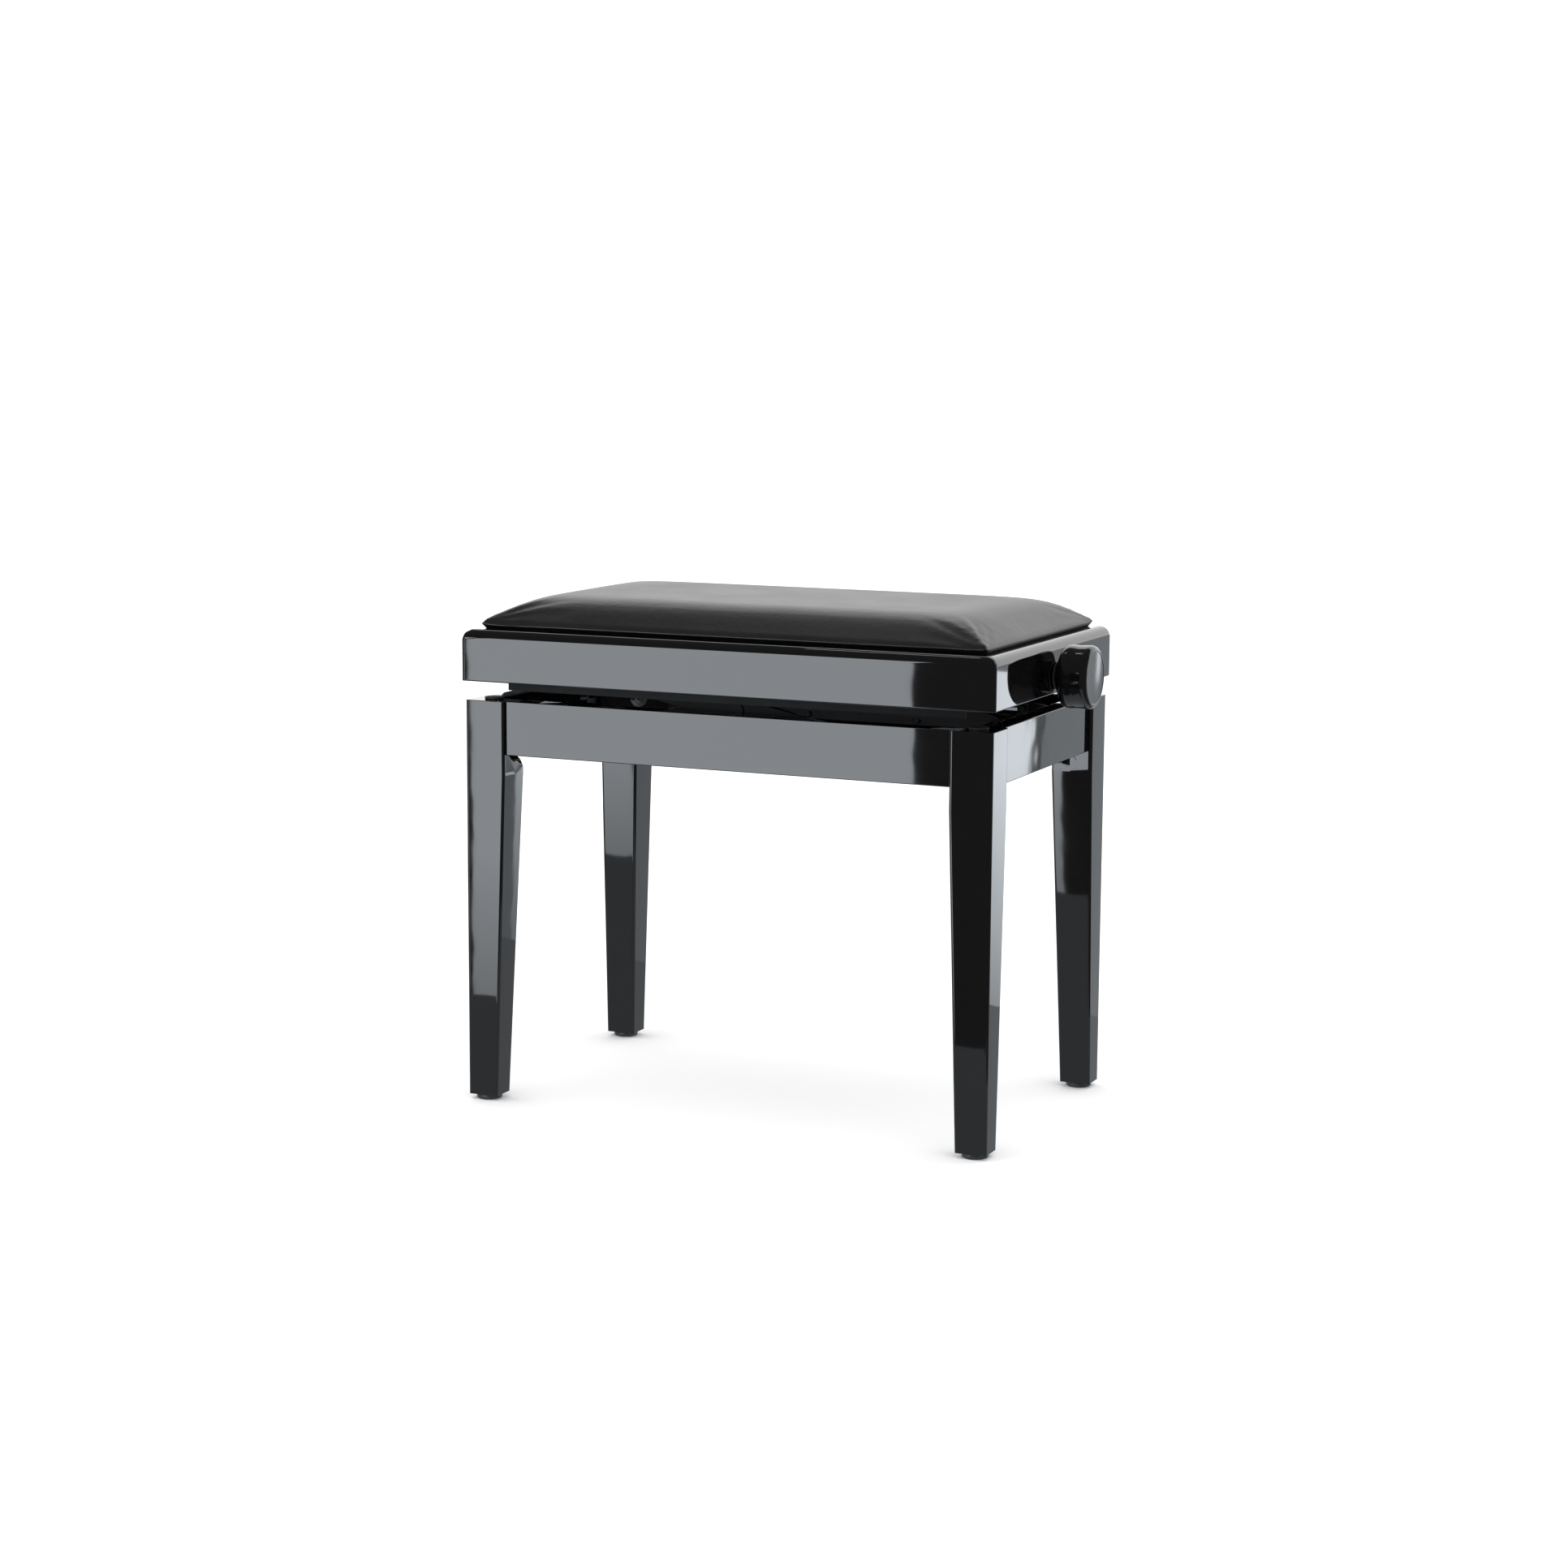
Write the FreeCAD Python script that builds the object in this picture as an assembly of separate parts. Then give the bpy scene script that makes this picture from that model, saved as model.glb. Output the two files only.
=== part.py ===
import FreeCAD, Part
import math
import os

# Adjustable piano bench: a padded seat frame that a double scissor lift carries over a four-legged base.
# Millimetres, +Z up, +X along the long side. The origin is on the floor under the middle of the bench.
# The bench is drawn with the seat a little above its lowest height.

# Upper frame
SEAT_LENGTH = 550.0
SEAT_WIDTH = 330.0
SEAT_BOTTOM_Z = 414.0
SEAT_RAIL_HEIGHT = 50.0
SEAT_RAIL_THICKNESS = 20.0
SEAT_CORNER_RADIUS = 4.5
SEAT_TOP_EDGE_RADIUS = 10.0
BOARD_THICKNESS = 19.0
CUSHION_CROWN = 32.0
CUSHION_OVERHANG = 7.5
COVER_THICKNESS = 1.2
COVER_GAP = 0.5
CLEAT_SIDE = 16.0
CLEAT_INNER_Y = 24.0
CLEAT_OUTER_Y = 118.0

# Base
BASE_LENGTH = 542.0
BASE_WIDTH = 323.0
LEG_TOP_Z = 395.6
LEG_TOP_X = 42.0
LEG_TOP_Y = 41.0
LEG_FOOT_X = 31.5
LEG_FOOT_Y = 27.5
LEG_TAPER_START_Z = 322.0
LEG_EDGE_RADIUS = 3.0
LEG_SHOULDER_RADIUS = 15.0
GLIDE_RADIUS = 12.5
GLIDE_HEIGHT = 5.0
APRON_BOTTOM_Z = 343.0
APRON_THICKNESS = 18.0
APRON_RECESS = 4.5
BUMPER_RADIUS = 9.5
BUMPER_HEIGHT = 2.0

# Leg joint: bent corner bracket with one hanger bolt
BRACKET_THICKNESS = 2.5
BRACKET_HEIGHT = 36.0
BRACKET_FLANGE = 13.0
BRACKET_SPAN = 48.5
LEG_BOLT_RADIUS = 4.0
LEG_BOLT_REACH = 54.0
LEG_BOLT_TAIL = 16.0
LEG_NUT_FLATS = 13.0
LEG_NUT_HEIGHT = 6.5
LEG_WASHER_RADIUS = 9.0
LEG_WASHER_THICKNESS = 1.6

# Scissor lift
ARM_LENGTH = 340.0
ARM_WIDTH = 24.0
ARM_THICKNESS = 4.0
ARM_A_INNER_Y = 113.5
ARM_B_INNER_Y = 119.0
BASE_PIVOT_Z = 361.0
SEAT_PIVOT_Z = 431.0
SHAFT_RADIUS = 5.0
RUNNING_CLEARANCE = 0.08
RIVET_HEAD_RADIUS = 7.5
RIVET_HEAD_HEIGHT = 2.0
CLIP_THICKNESS = 1.2
CLIP_RADIUS = 8.0

# Channels that the rollers run in
CHANNEL_WEB_Y = 139.0
CHANNEL_DEPTH = 14.0
CHANNEL_HEIGHT = 28.0
CHANNEL_THICKNESS = 2.0
BASE_CHANNEL_HALF_LENGTH = 184.0
SEAT_CHANNEL_HALF_LENGTH = 236.0
SEAT_CHANNEL_WEB_Y = 138.5
SEAT_CHANNEL_SKIRT_Z = 404.0
ROLLER_RADIUS = 11.7
ROLLER_WIDTH = 9.0
ROLLER_INNER_Y = 127.0
CHANNEL_SCREW_X = (-140.0, -40.0, 80.0)

# Spindle
SPINDLE_RADIUS = 6.0
NUT_LENGTH = 26.0
NUT_WIDTH = 30.0
NUT_HEIGHT = 26.0
BUSH_BODY_RADIUS = 9.0
BUSH_FLANGE_RADIUS = 13.0
BUSH_FLANGE_THICKNESS = 1.5
COLLAR_RADIUS = 11.0
COLLAR_LENGTH = 9.0
COLLAR_END_GAP = 0.4
KNOB_RADIUS = 30.0
KNOB_NECK_RADIUS = 15.0
KNOB_NECK_LENGTH = 4.5
KNOB_SCREW_REACH = 16.0
KNOB_INNER_GAP = 2.2
KNOB_LENGTH = 36.0
KNOB_SOCKET_DEPTH = 26.0
GRUB_RADIUS = 2.5

# Screws
SCREW_RADIUS = 2.0
SCREW_HEAD_RADIUS = 4.0
SCREW_HEAD_HEIGHT = 2.4

SEAT_TOP_Z = SEAT_BOTTOM_Z + SEAT_RAIL_HEIGHT
BOARD_BOTTOM_Z = SEAT_TOP_Z - BOARD_THICKNESS
SEAT_INNER_X = SEAT_LENGTH / 2 - SEAT_RAIL_THICKNESS
SEAT_INNER_Y = SEAT_WIDTH / 2 - SEAT_RAIL_THICKNESS
COVER_HALF_X = SEAT_INNER_X - COVER_GAP
COVER_HALF_Y = SEAT_INNER_Y - COVER_GAP
BOARD_HALF_X = COVER_HALF_X - COVER_THICKNESS
BOARD_HALF_Y = COVER_HALF_Y - COVER_THICKNESS
BASE_HALF_X = BASE_LENGTH / 2
BASE_HALF_Y = BASE_WIDTH / 2
APRON_INNER_X = BASE_HALF_X - APRON_RECESS - APRON_THICKNESS
APRON_INNER_Y = BASE_HALF_Y - APRON_RECESS - APRON_THICKNESS
LEG_JOINT_Z = (APRON_BOTTOM_Z + LEG_TOP_Z) / 2
LIFT_HEIGHT = SEAT_PIVOT_Z - BASE_PIVOT_Z
ARM_RUN = math.sqrt(ARM_LENGTH ** 2 - LIFT_HEIGHT ** 2)
FIXED_PIVOT_X = -ARM_LENGTH * 0.4895
SLIDING_PIVOT_X = FIXED_PIVOT_X + ARM_RUN
CORNERS = {
    "front_left": (-1, -1),
    "front_right": (1, -1),
    "rear_left": (-1, 1),
    "rear_right": (1, 1),
}
LONG_SIDES = {"front": -1, "rear": 1}
SHORT_SIDES = {"left": -1, "right": 1}


def save(name, *solids):
    """Write one named piece, or a group of like pieces, as a STEP file."""
    shape = solids[0] if len(solids) == 1 else Part.makeCompound(list(solids))
    shape.exportStep("parts/" + name + ".step")


def span_box(x_span, y_span, z_span):
    """Box between two planes on each axis, given in either order."""
    lows = [min(span) for span in (x_span, y_span, z_span)]
    sizes = [max(span) - min(span) for span in (x_span, y_span, z_span)]
    return Part.makeBox(*sizes, FreeCAD.Vector(*lows))


def rod(radius, start, end):
    """Round bar from one point to another."""
    start = FreeCAD.Vector(*start)
    along = FreeCAD.Vector(*end) - start
    return Part.makeCylinder(radius, along.Length, start, along)


def cross_rod(radius, x, z, y_start, y_end):
    """Round bar along Y."""
    return rod(radius, (x, y_start, z), (x, y_end, z))


def rounded_outline(x_span, y_span, z, radius):
    """Closed outline of a rectangle with round corners at one height."""
    face = Part.makePlane(x_span[1] - x_span[0], y_span[1] - y_span[0],
                          FreeCAD.Vector(x_span[0], y_span[0], 0))
    slab = face.extrude(FreeCAD.Vector(0, 0, 10))
    uprights = [edge for edge in slab.Edges if abs(edge.tangentAt(edge.FirstParameter).z) > 0.99]
    rounded = slab.makeFillet(radius, uprights)
    bottom = min(rounded.Faces, key=lambda side: side.CenterOfMass.z)
    outline = bottom.OuterWire.copy()
    outline.translate(FreeCAD.Vector(0, 0, z))
    return outline


def layered_solid(outlines):
    """Solid with flat ends through a stack of like outlines."""
    return Part.makeLoft(outlines, True, True)


def polygon_prism(points, z_span):
    """Upright prism over a polygon in the XY plane."""
    corners = [FreeCAD.Vector(x, y, z_span[0]) for x, y in points]
    face = Part.Face(Part.makePolygon(corners + corners[:1]))
    return face.extrude(FreeCAD.Vector(0, 0, z_span[1] - z_span[0]))


def screw(head_seat, direction, length):
    """Pan-head wood screw: its head stands on head_seat and its shank runs along direction."""
    seat = FreeCAD.Vector(*head_seat)
    along = FreeCAD.Vector(*direction)
    along.normalize()
    head = Part.makeCylinder(SCREW_HEAD_RADIUS, SCREW_HEAD_HEIGHT, seat - along * SCREW_HEAD_HEIGHT, along)
    rim = [edge for edge in head.Edges if edge.Closed and (edge.CenterOfMass - seat).Length > 1.0]
    head = head.makeFillet(SCREW_HEAD_HEIGHT * 0.6, rim)
    shank = Part.makeCylinder(SCREW_RADIUS, length, seat, along)
    return head.fuse(shank).removeSplitter()


def hexagon_nut(centre, direction, flats, height, hole_radius):
    """Hexagon nut whose near face is at centre and which stands along direction."""
    radius = flats / math.sqrt(3)
    turns = [math.radians(60 * corner) for corner in range(6)]
    corners = [FreeCAD.Vector(radius * math.cos(turn), radius * math.sin(turn), 0) for turn in turns]
    face = Part.Face(Part.makePolygon(corners + corners[:1]))
    nut = face.extrude(FreeCAD.Vector(0, 0, height))
    nut = nut.common(Part.makeCone(radius * 0.96 + height, radius * 0.96, height))
    nut = nut.cut(Part.makeCylinder(hole_radius, height))
    nut.Placement = FreeCAD.Placement(FreeCAD.Vector(*centre),
                                      FreeCAD.Rotation(FreeCAD.Vector(0, 0, 1), FreeCAD.Vector(*direction)))
    return nut


def leg_blank(side_x, side_y):
    """Square leg with upright outer faces and inner faces that taper; its top wraps the aprons' corner."""
    outer_x = side_x * BASE_HALF_X
    outer_y = side_y * BASE_HALF_Y
    sections = (
        (GLIDE_HEIGHT, LEG_FOOT_X, LEG_FOOT_Y),
        (LEG_TAPER_START_Z, LEG_TOP_X, LEG_TOP_Y),
        (LEG_TOP_Z, LEG_TOP_X, LEG_TOP_Y),
    )
    outlines = []
    for z, size_x, size_y in sections:
        x_span = sorted((outer_x, outer_x - side_x * size_x))
        y_span = sorted((outer_y, outer_y - side_y * size_y))
        outlines.append(rounded_outline(x_span, y_span, z, LEG_EDGE_RADIUS))
    notch_x = (side_x * APRON_INNER_X, side_x * (APRON_INNER_X - LEG_TOP_X))
    notch_y = (side_y * APRON_INNER_Y, side_y * (APRON_INNER_Y - LEG_TOP_Y))
    leg = layered_solid(outlines).cut(span_box(notch_x, notch_y, (APRON_BOTTOM_Z, LEG_TOP_Z)))
    inner_x = BASE_HALF_X - LEG_TOP_X
    inner_y = BASE_HALF_Y - LEG_TOP_Y
    shoulder = [edge for edge in leg.Edges
                if abs(edge.CenterOfMass.z - APRON_BOTTOM_Z) < 0.01
                and (abs(edge.CenterOfMass.x) < inner_x + 2 or abs(edge.CenterOfMass.y) < inner_y + 2)]
    return leg.makeFillet(LEG_SHOULDER_RADIUS, shoulder)


def foot_centre(side_x, side_y):
    """Middle of a leg's lower end."""
    return side_x * (BASE_HALF_X - LEG_FOOT_X / 2), side_y * (BASE_HALF_Y - LEG_FOOT_Y / 2)


def glide(side_x, side_y):
    """Round plastic glide with a rounded edge and a stud that is driven into the leg."""
    x, y = foot_centre(side_x, side_y)
    pad = Part.makeCylinder(GLIDE_RADIUS, GLIDE_HEIGHT, FreeCAD.Vector(x, y, 0))
    rim = [edge for edge in pad.Edges if edge.Closed and edge.CenterOfMass.z < 0.1]
    stud = rod(2.5, (x, y, GLIDE_HEIGHT), (x, y, GLIDE_HEIGHT + 14))
    return pad.makeFillet(1.5, rim).fuse(stud)


def bumper(side_x, side_y):
    """Thin rubber pad on a leg's top, where the seat frame stops at its lowest height."""
    x = side_x * (BASE_HALF_X - LEG_TOP_X / 2)
    y = side_y * (BASE_HALF_Y - LEG_TOP_Y / 2)
    pad = Part.makeCylinder(BUMPER_RADIUS, BUMPER_HEIGHT, FreeCAD.Vector(x, y, LEG_TOP_Z))
    rim = [edge for edge in pad.Edges if edge.Closed and edge.CenterOfMass.z > LEG_TOP_Z + 1]
    return pad.makeFillet(0.8, rim)


def bracket_middle(side_x, side_y):
    """Middle of a corner bracket's slanting web, on the face towards the leg."""
    return (side_x * (APRON_INNER_X - BRACKET_SPAN / 2), side_y * (APRON_INNER_Y - BRACKET_SPAN / 2), LEG_JOINT_Z)


def corner_bracket(side_x, side_y):
    """Bent steel strip across the corner of the aprons, with a hole for the leg bolt."""
    outer_x, outer_y = APRON_INNER_X, APRON_INNER_Y
    inner_x, inner_y = outer_x - BRACKET_THICKNESS, outer_y - BRACKET_THICKNESS
    near = BRACKET_SPAN
    bend = BRACKET_THICKNESS * math.tan(math.radians(22.5))
    outline = [
        (outer_x - near - BRACKET_FLANGE, outer_y),
        (outer_x - near, outer_y),
        (outer_x, outer_y - near),
        (outer_x, outer_y - near - BRACKET_FLANGE),
        (inner_x, outer_y - near - BRACKET_FLANGE),
        (inner_x, outer_y - near - bend),
        (outer_x - near - bend, inner_y),
        (outer_x - near - BRACKET_FLANGE, inner_y),
    ]
    points = [(side_x * x, side_y * y) for x, y in outline]
    z_span = (LEG_JOINT_Z - BRACKET_HEIGHT / 2, LEG_JOINT_Z + BRACKET_HEIGHT / 2)
    x, y, z = bracket_middle(side_x, side_y)
    hole = rod(LEG_BOLT_RADIUS + 0.5, (x + side_x * 6, y + side_y * 6, z), (x - side_x * 6, y - side_y * 6, z))
    return polygon_prism(points, z_span).cut(hole)


def bracket_screws(side_x, side_y):
    """Four screws that hold one bracket to its two aprons."""
    reach = BRACKET_SPAN + BRACKET_FLANGE / 2 + 0.8
    screws = []
    for rise in (-10, 10):
        z = LEG_JOINT_Z + rise
        on_long = (side_x * (APRON_INNER_X - reach), side_y * (APRON_INNER_Y - BRACKET_THICKNESS), z)
        on_short = (side_x * (APRON_INNER_X - BRACKET_THICKNESS), side_y * (APRON_INNER_Y - reach), z)
        screws.append(screw(on_long, (0, side_y, 0), 14))
        screws.append(screw(on_short, (side_x, 0, 0), 14))
    return screws


def leg_bolt(side_x, side_y):
    """Hanger bolt from the leg's inner corner through the bracket, with its washer and nut."""
    step = math.sqrt(0.5)
    inward = FreeCAD.Vector(-side_x * step, -side_y * step, 0)
    face = FreeCAD.Vector(*bracket_middle(side_x, side_y)) + inward * BRACKET_THICKNESS
    bolt = rod(LEG_BOLT_RADIUS, face - inward * LEG_BOLT_REACH, face + inward * LEG_BOLT_TAIL)
    washer = rod(LEG_WASHER_RADIUS, face, face + inward * LEG_WASHER_THICKNESS)
    washer = washer.cut(rod(LEG_BOLT_RADIUS, face, face + inward * LEG_WASHER_THICKNESS))
    nut = hexagon_nut(face + inward * LEG_WASHER_THICKNESS, inward, LEG_NUT_FLATS, LEG_NUT_HEIGHT,
                      LEG_BOLT_RADIUS)
    return bolt, washer, nut


def channel(side_y, web_distance, half_length, pivot_z, pivot_hole_radius, skirt_z):
    """U-shaped steel channel, open towards the middle, with a pivot hole and a web that reaches skirt_z."""
    web_y = side_y * web_distance
    lip_y = side_y * (web_distance - CHANNEL_DEPTH)
    groove_y = web_y - side_y * CHANNEL_THICKNESS
    x_span = (-half_length, half_length)
    half = CHANNEL_HEIGHT / 2
    bar = span_box(x_span, (web_y, lip_y), (pivot_z - half, pivot_z + half))
    upper_bend = [edge for edge in bar.Edges
                  if abs(edge.CenterOfMass.y - web_y) < 0.1 and edge.CenterOfMass.z > pivot_z + 1
                  and edge.Length > half_length]
    bar = bar.makeFillet(CHANNEL_THICKNESS, upper_bend)
    groove_half = half - CHANNEL_THICKNESS
    groove = span_box(x_span, (groove_y, lip_y), (pivot_z - groove_half, pivot_z + groove_half))
    bar = bar.cut(groove)
    if skirt_z < pivot_z - half:
        bar = bar.fuse(span_box(x_span, (web_y, groove_y), (skirt_z, pivot_z - half))).removeSplitter()
    return bar.cut(cross_rod(pivot_hole_radius, FIXED_PIVOT_X, pivot_z, web_y - side_y * 5, web_y + side_y))


def base_channel(side_y):
    """Lower channel, screwed to a long apron's inner face; arm A's shaft turns in it."""
    return channel(side_y, CHANNEL_WEB_Y, BASE_CHANNEL_HALF_LENGTH, BASE_PIVOT_Z,
                   SHAFT_RADIUS + RUNNING_CLEARANCE, BASE_PIVOT_Z)


def seat_channel(side_y):
    """Upper channel, screwed to the seat board's underside; its web hangs below the seat frame."""
    return channel(side_y, SEAT_CHANNEL_WEB_Y, SEAT_CHANNEL_HALF_LENGTH, SEAT_PIVOT_Z,
                   SHAFT_RADIUS, SEAT_CHANNEL_SKIRT_Z)


def base_channel_screws(side_y):
    """Screws through a lower channel's web into the apron."""
    head_y = side_y * (CHANNEL_WEB_Y - CHANNEL_THICKNESS)
    return [screw((x, head_y, BASE_PIVOT_Z), (0, side_y, 0), 16) for x in CHANNEL_SCREW_X]


def seat_channel_screws(side_y):
    """Screws up through an upper channel's top flange into the seat board."""
    y = side_y * (SEAT_CHANNEL_WEB_Y - CHANNEL_DEPTH / 2)
    z = SEAT_PIVOT_Z + CHANNEL_HEIGHT / 2 - CHANNEL_THICKNESS
    return [screw((x, y, z), (0, 0, 1), 16) for x in CHANNEL_SCREW_X]


def scissor_arm(side_y, inner_y, start, end, start_hole, end_hole):
    """Flat steel arm with round ends between two pivots, with a hole at each pivot and one midway."""
    start_x, start_z = start
    end_x, end_z = end
    y_near = side_y * inner_y
    y_far = side_y * (inner_y + ARM_THICKNESS)
    length = math.hypot(end_x - start_x, end_z - start_z)
    half = ARM_WIDTH / 2
    strip = span_box((0, length), (y_near, y_far), (-half, half))
    for x in (0, length):
        strip = strip.fuse(cross_rod(half, x, 0, y_near, y_far))
    strip = strip.removeSplitter()
    holes = ((0, start_hole), (length / 2, SHAFT_RADIUS + RUNNING_CLEARANCE), (length, end_hole))
    for x, radius in holes:
        strip = strip.cut(cross_rod(radius, x, 0, y_near, y_far))
    tilt = -math.degrees(math.atan2(end_z - start_z, end_x - start_x))
    strip.Placement = FreeCAD.Placement(FreeCAD.Vector(start_x, 0, start_z),
                                        FreeCAD.Rotation(FreeCAD.Vector(0, 1, 0), tilt))
    return strip


def centre_rivet(side_y):
    """Rivet at a crossing: its shank is fixed in arm A, and arm B turns on it."""
    x = (FIXED_PIVOT_X + SLIDING_PIVOT_X) / 2
    z = (BASE_PIVOT_Z + SEAT_PIVOT_Z) / 2
    near = ARM_A_INNER_Y
    far = ARM_B_INNER_Y + ARM_THICKNESS + 0.1
    shank = cross_rod(SHAFT_RADIUS, x, z, side_y * near, side_y * far)
    for start, end in ((near - RIVET_HEAD_HEIGHT, near), (far, far + RIVET_HEAD_HEIGHT - 0.4)):
        shank = shank.fuse(cross_rod(RIVET_HEAD_RADIUS, x, z, side_y * start, side_y * end))
    return shank.removeSplitter()


def seat_pivot_pin(side_y):
    """Headed pin fixed in an upper channel's web; arm B's upper end hangs on it."""
    head_start = ARM_B_INNER_Y - 0.2 - CLIP_THICKNESS
    pin = cross_rod(SHAFT_RADIUS, FIXED_PIVOT_X, SEAT_PIVOT_Z, side_y * head_start,
                    side_y * SEAT_CHANNEL_WEB_Y)
    head = cross_rod(CLIP_RADIUS, FIXED_PIVOT_X, SEAT_PIVOT_Z, side_y * head_start,
                     side_y * (head_start + CLIP_THICKNESS))
    return pin.fuse(head).removeSplitter()


def ring(inner_radius, outer_radius, x, z, y_start, y_end):
    """Flat ring around an axis along Y."""
    return cross_rod(outer_radius, x, z, y_start, y_end).cut(cross_rod(inner_radius, x, z, y_start, y_end))


def roller(side_y, z):
    """Plastic roller on the end of a sliding shaft."""
    inner_y = side_y * ROLLER_INNER_Y
    outer_y = side_y * (ROLLER_INNER_Y + ROLLER_WIDTH)
    body = cross_rod(ROLLER_RADIUS, SLIDING_PIVOT_X, z, inner_y, outer_y)
    rims = [edge for edge in body.Edges if edge.Closed]
    body = body.makeFillet(1.0, rims)
    return body.cut(cross_rod(SHAFT_RADIUS, SLIDING_PIVOT_X, z, inner_y, outer_y))


def trunnion(side_y):
    """Side shaft of the spindle nut, out to its roller in the upper channel."""
    start = side_y * NUT_WIDTH / 2
    end = side_y * (ROLLER_INNER_Y + ROLLER_WIDTH)
    return cross_rod(SHAFT_RADIUS, SLIDING_PIVOT_X, SEAT_PIVOT_Z, start, end)


def trunnion_clip(side_y):
    """Snap ring that keeps arm A on its trunnion."""
    near = ARM_A_INNER_Y - 0.3
    return ring(SHAFT_RADIUS, CLIP_RADIUS, SLIDING_PIVOT_X, SEAT_PIVOT_Z, side_y * near,
                side_y * (near - CLIP_THICKNESS))


def spindle_nut():
    """Block nut that travels along the spindle."""
    block = span_box((SLIDING_PIVOT_X - NUT_LENGTH / 2, SLIDING_PIVOT_X + NUT_LENGTH / 2),
                     (-NUT_WIDTH / 2, NUT_WIDTH / 2),
                     (SEAT_PIVOT_Z - NUT_HEIGHT / 2, SEAT_PIVOT_Z + NUT_HEIGHT / 2))
    block = block.makeChamfer(1.0, block.Edges)
    hole_start = (SLIDING_PIVOT_X - NUT_LENGTH, 0, SEAT_PIVOT_Z)
    hole_end = (SLIDING_PIVOT_X + NUT_LENGTH, 0, SEAT_PIVOT_Z)
    return block.cut(rod(SPINDLE_RADIUS + RUNNING_CLEARANCE, hole_start, hole_end))


def spindle():
    """Long threaded rod, drawn at its thread's outer diameter."""
    reach = SEAT_LENGTH / 2 + KNOB_INNER_GAP + KNOB_SOCKET_DEPTH
    return rod(SPINDLE_RADIUS, (-reach, 0, SEAT_PIVOT_Z), (reach, 0, SEAT_PIVOT_Z))


def spindle_bush(side_x):
    """Flanged plastic bush that the spindle turns in, pressed into a short rail."""
    inner = side_x * SEAT_INNER_X
    outer = side_x * SEAT_LENGTH / 2
    lip = outer + side_x * BUSH_FLANGE_THICKNESS
    body = rod(BUSH_BODY_RADIUS, (inner, 0, SEAT_PIVOT_Z), (outer, 0, SEAT_PIVOT_Z))
    flange = rod(BUSH_FLANGE_RADIUS, (outer, 0, SEAT_PIVOT_Z), (lip, 0, SEAT_PIVOT_Z))
    hole = rod(SPINDLE_RADIUS + RUNNING_CLEARANCE, (inner, 0, SEAT_PIVOT_Z), (lip, 0, SEAT_PIVOT_Z))
    return body.fuse(flange).removeSplitter().cut(hole)


def grub_screw(x, outer_radius):
    """Grub screw from below, down to the spindle's surface."""
    return rod(GRUB_RADIUS, (x, 0, SEAT_PIVOT_Z - SPINDLE_RADIUS), (x, 0, SEAT_PIVOT_Z - outer_radius))


def collar_middle(side_x):
    """Place of a collar's middle along the spindle."""
    return side_x * (SEAT_INNER_X - COLLAR_END_GAP - COLLAR_LENGTH / 2)


def spindle_collar(side_x):
    """Thrust collar just inside a short rail."""
    middle = collar_middle(side_x)
    start = (middle - COLLAR_LENGTH / 2, 0, SEAT_PIVOT_Z)
    end = (middle + COLLAR_LENGTH / 2, 0, SEAT_PIVOT_Z)
    body = rod(COLLAR_RADIUS, start, end).cut(rod(SPINDLE_RADIUS, start, end))
    return body.cut(grub_screw(middle, COLLAR_RADIUS))


def knob_screw_place(side_x):
    """Place of a knob's grub screw along the spindle."""
    return side_x * (SEAT_LENGTH / 2 + KNOB_INNER_GAP + KNOB_SCREW_REACH)


def knob_screw_hole():
    """Grub screw hole of the right knob."""
    return grub_screw(knob_screw_place(1), KNOB_RADIUS + 1)


def knob(side_x):
    """Turned plastic knob: a narrow neck, a drum with round shoulders and a flat end."""
    start = SEAT_LENGTH / 2 + KNOB_INNER_GAP
    end = start + KNOB_LENGTH
    back = start + KNOB_NECK_LENGTH
    face = end - 0.8

    def point(x, radius):
        return FreeCAD.Vector(x, 0, SEAT_PIVOT_Z + radius)

    def line(first, last):
        return Part.LineSegment(point(*first), point(*last)).toShape()

    def arc(first, middle, last):
        return Part.Arc(point(*first), point(*middle), point(*last)).toShape()

    full = KNOB_RADIUS
    edges = [
        line((start, 0), (start, KNOB_NECK_RADIUS)),
        line((start, KNOB_NECK_RADIUS), (back, KNOB_NECK_RADIUS)),
        line((back, KNOB_NECK_RADIUS), (back, full - 8)),
        arc((back, full - 8), (back + 2.3, full - 2.3), (back + 8, full)),
        line((back + 8, full), (end - 6, full)),
        arc((end - 6, full), (end - 2, full - 1.6), (end - 0.2, full - 4.6)),
        line((end - 0.2, full - 4.6), (face, full - 5.4)),
        line((face, full - 5.4), (face, 0)),
        line((face, 0), (start, 0)),
    ]
    profile = Part.Face(Part.Wire(edges))
    body = profile.revolve(FreeCAD.Vector(0, 0, SEAT_PIVOT_Z), FreeCAD.Vector(1, 0, 0), 360)
    socket_end = start + KNOB_SOCKET_DEPTH
    socket = rod(SPINDLE_RADIUS, (start, 0, SEAT_PIVOT_Z), (socket_end, 0, SEAT_PIVOT_Z))
    body = body.cut(socket).cut(knob_screw_hole())
    if side_x < 0:
        body.rotate(FreeCAD.Vector(0, 0, 0), FreeCAD.Vector(0, 0, 1), 180)
    return body


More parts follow.
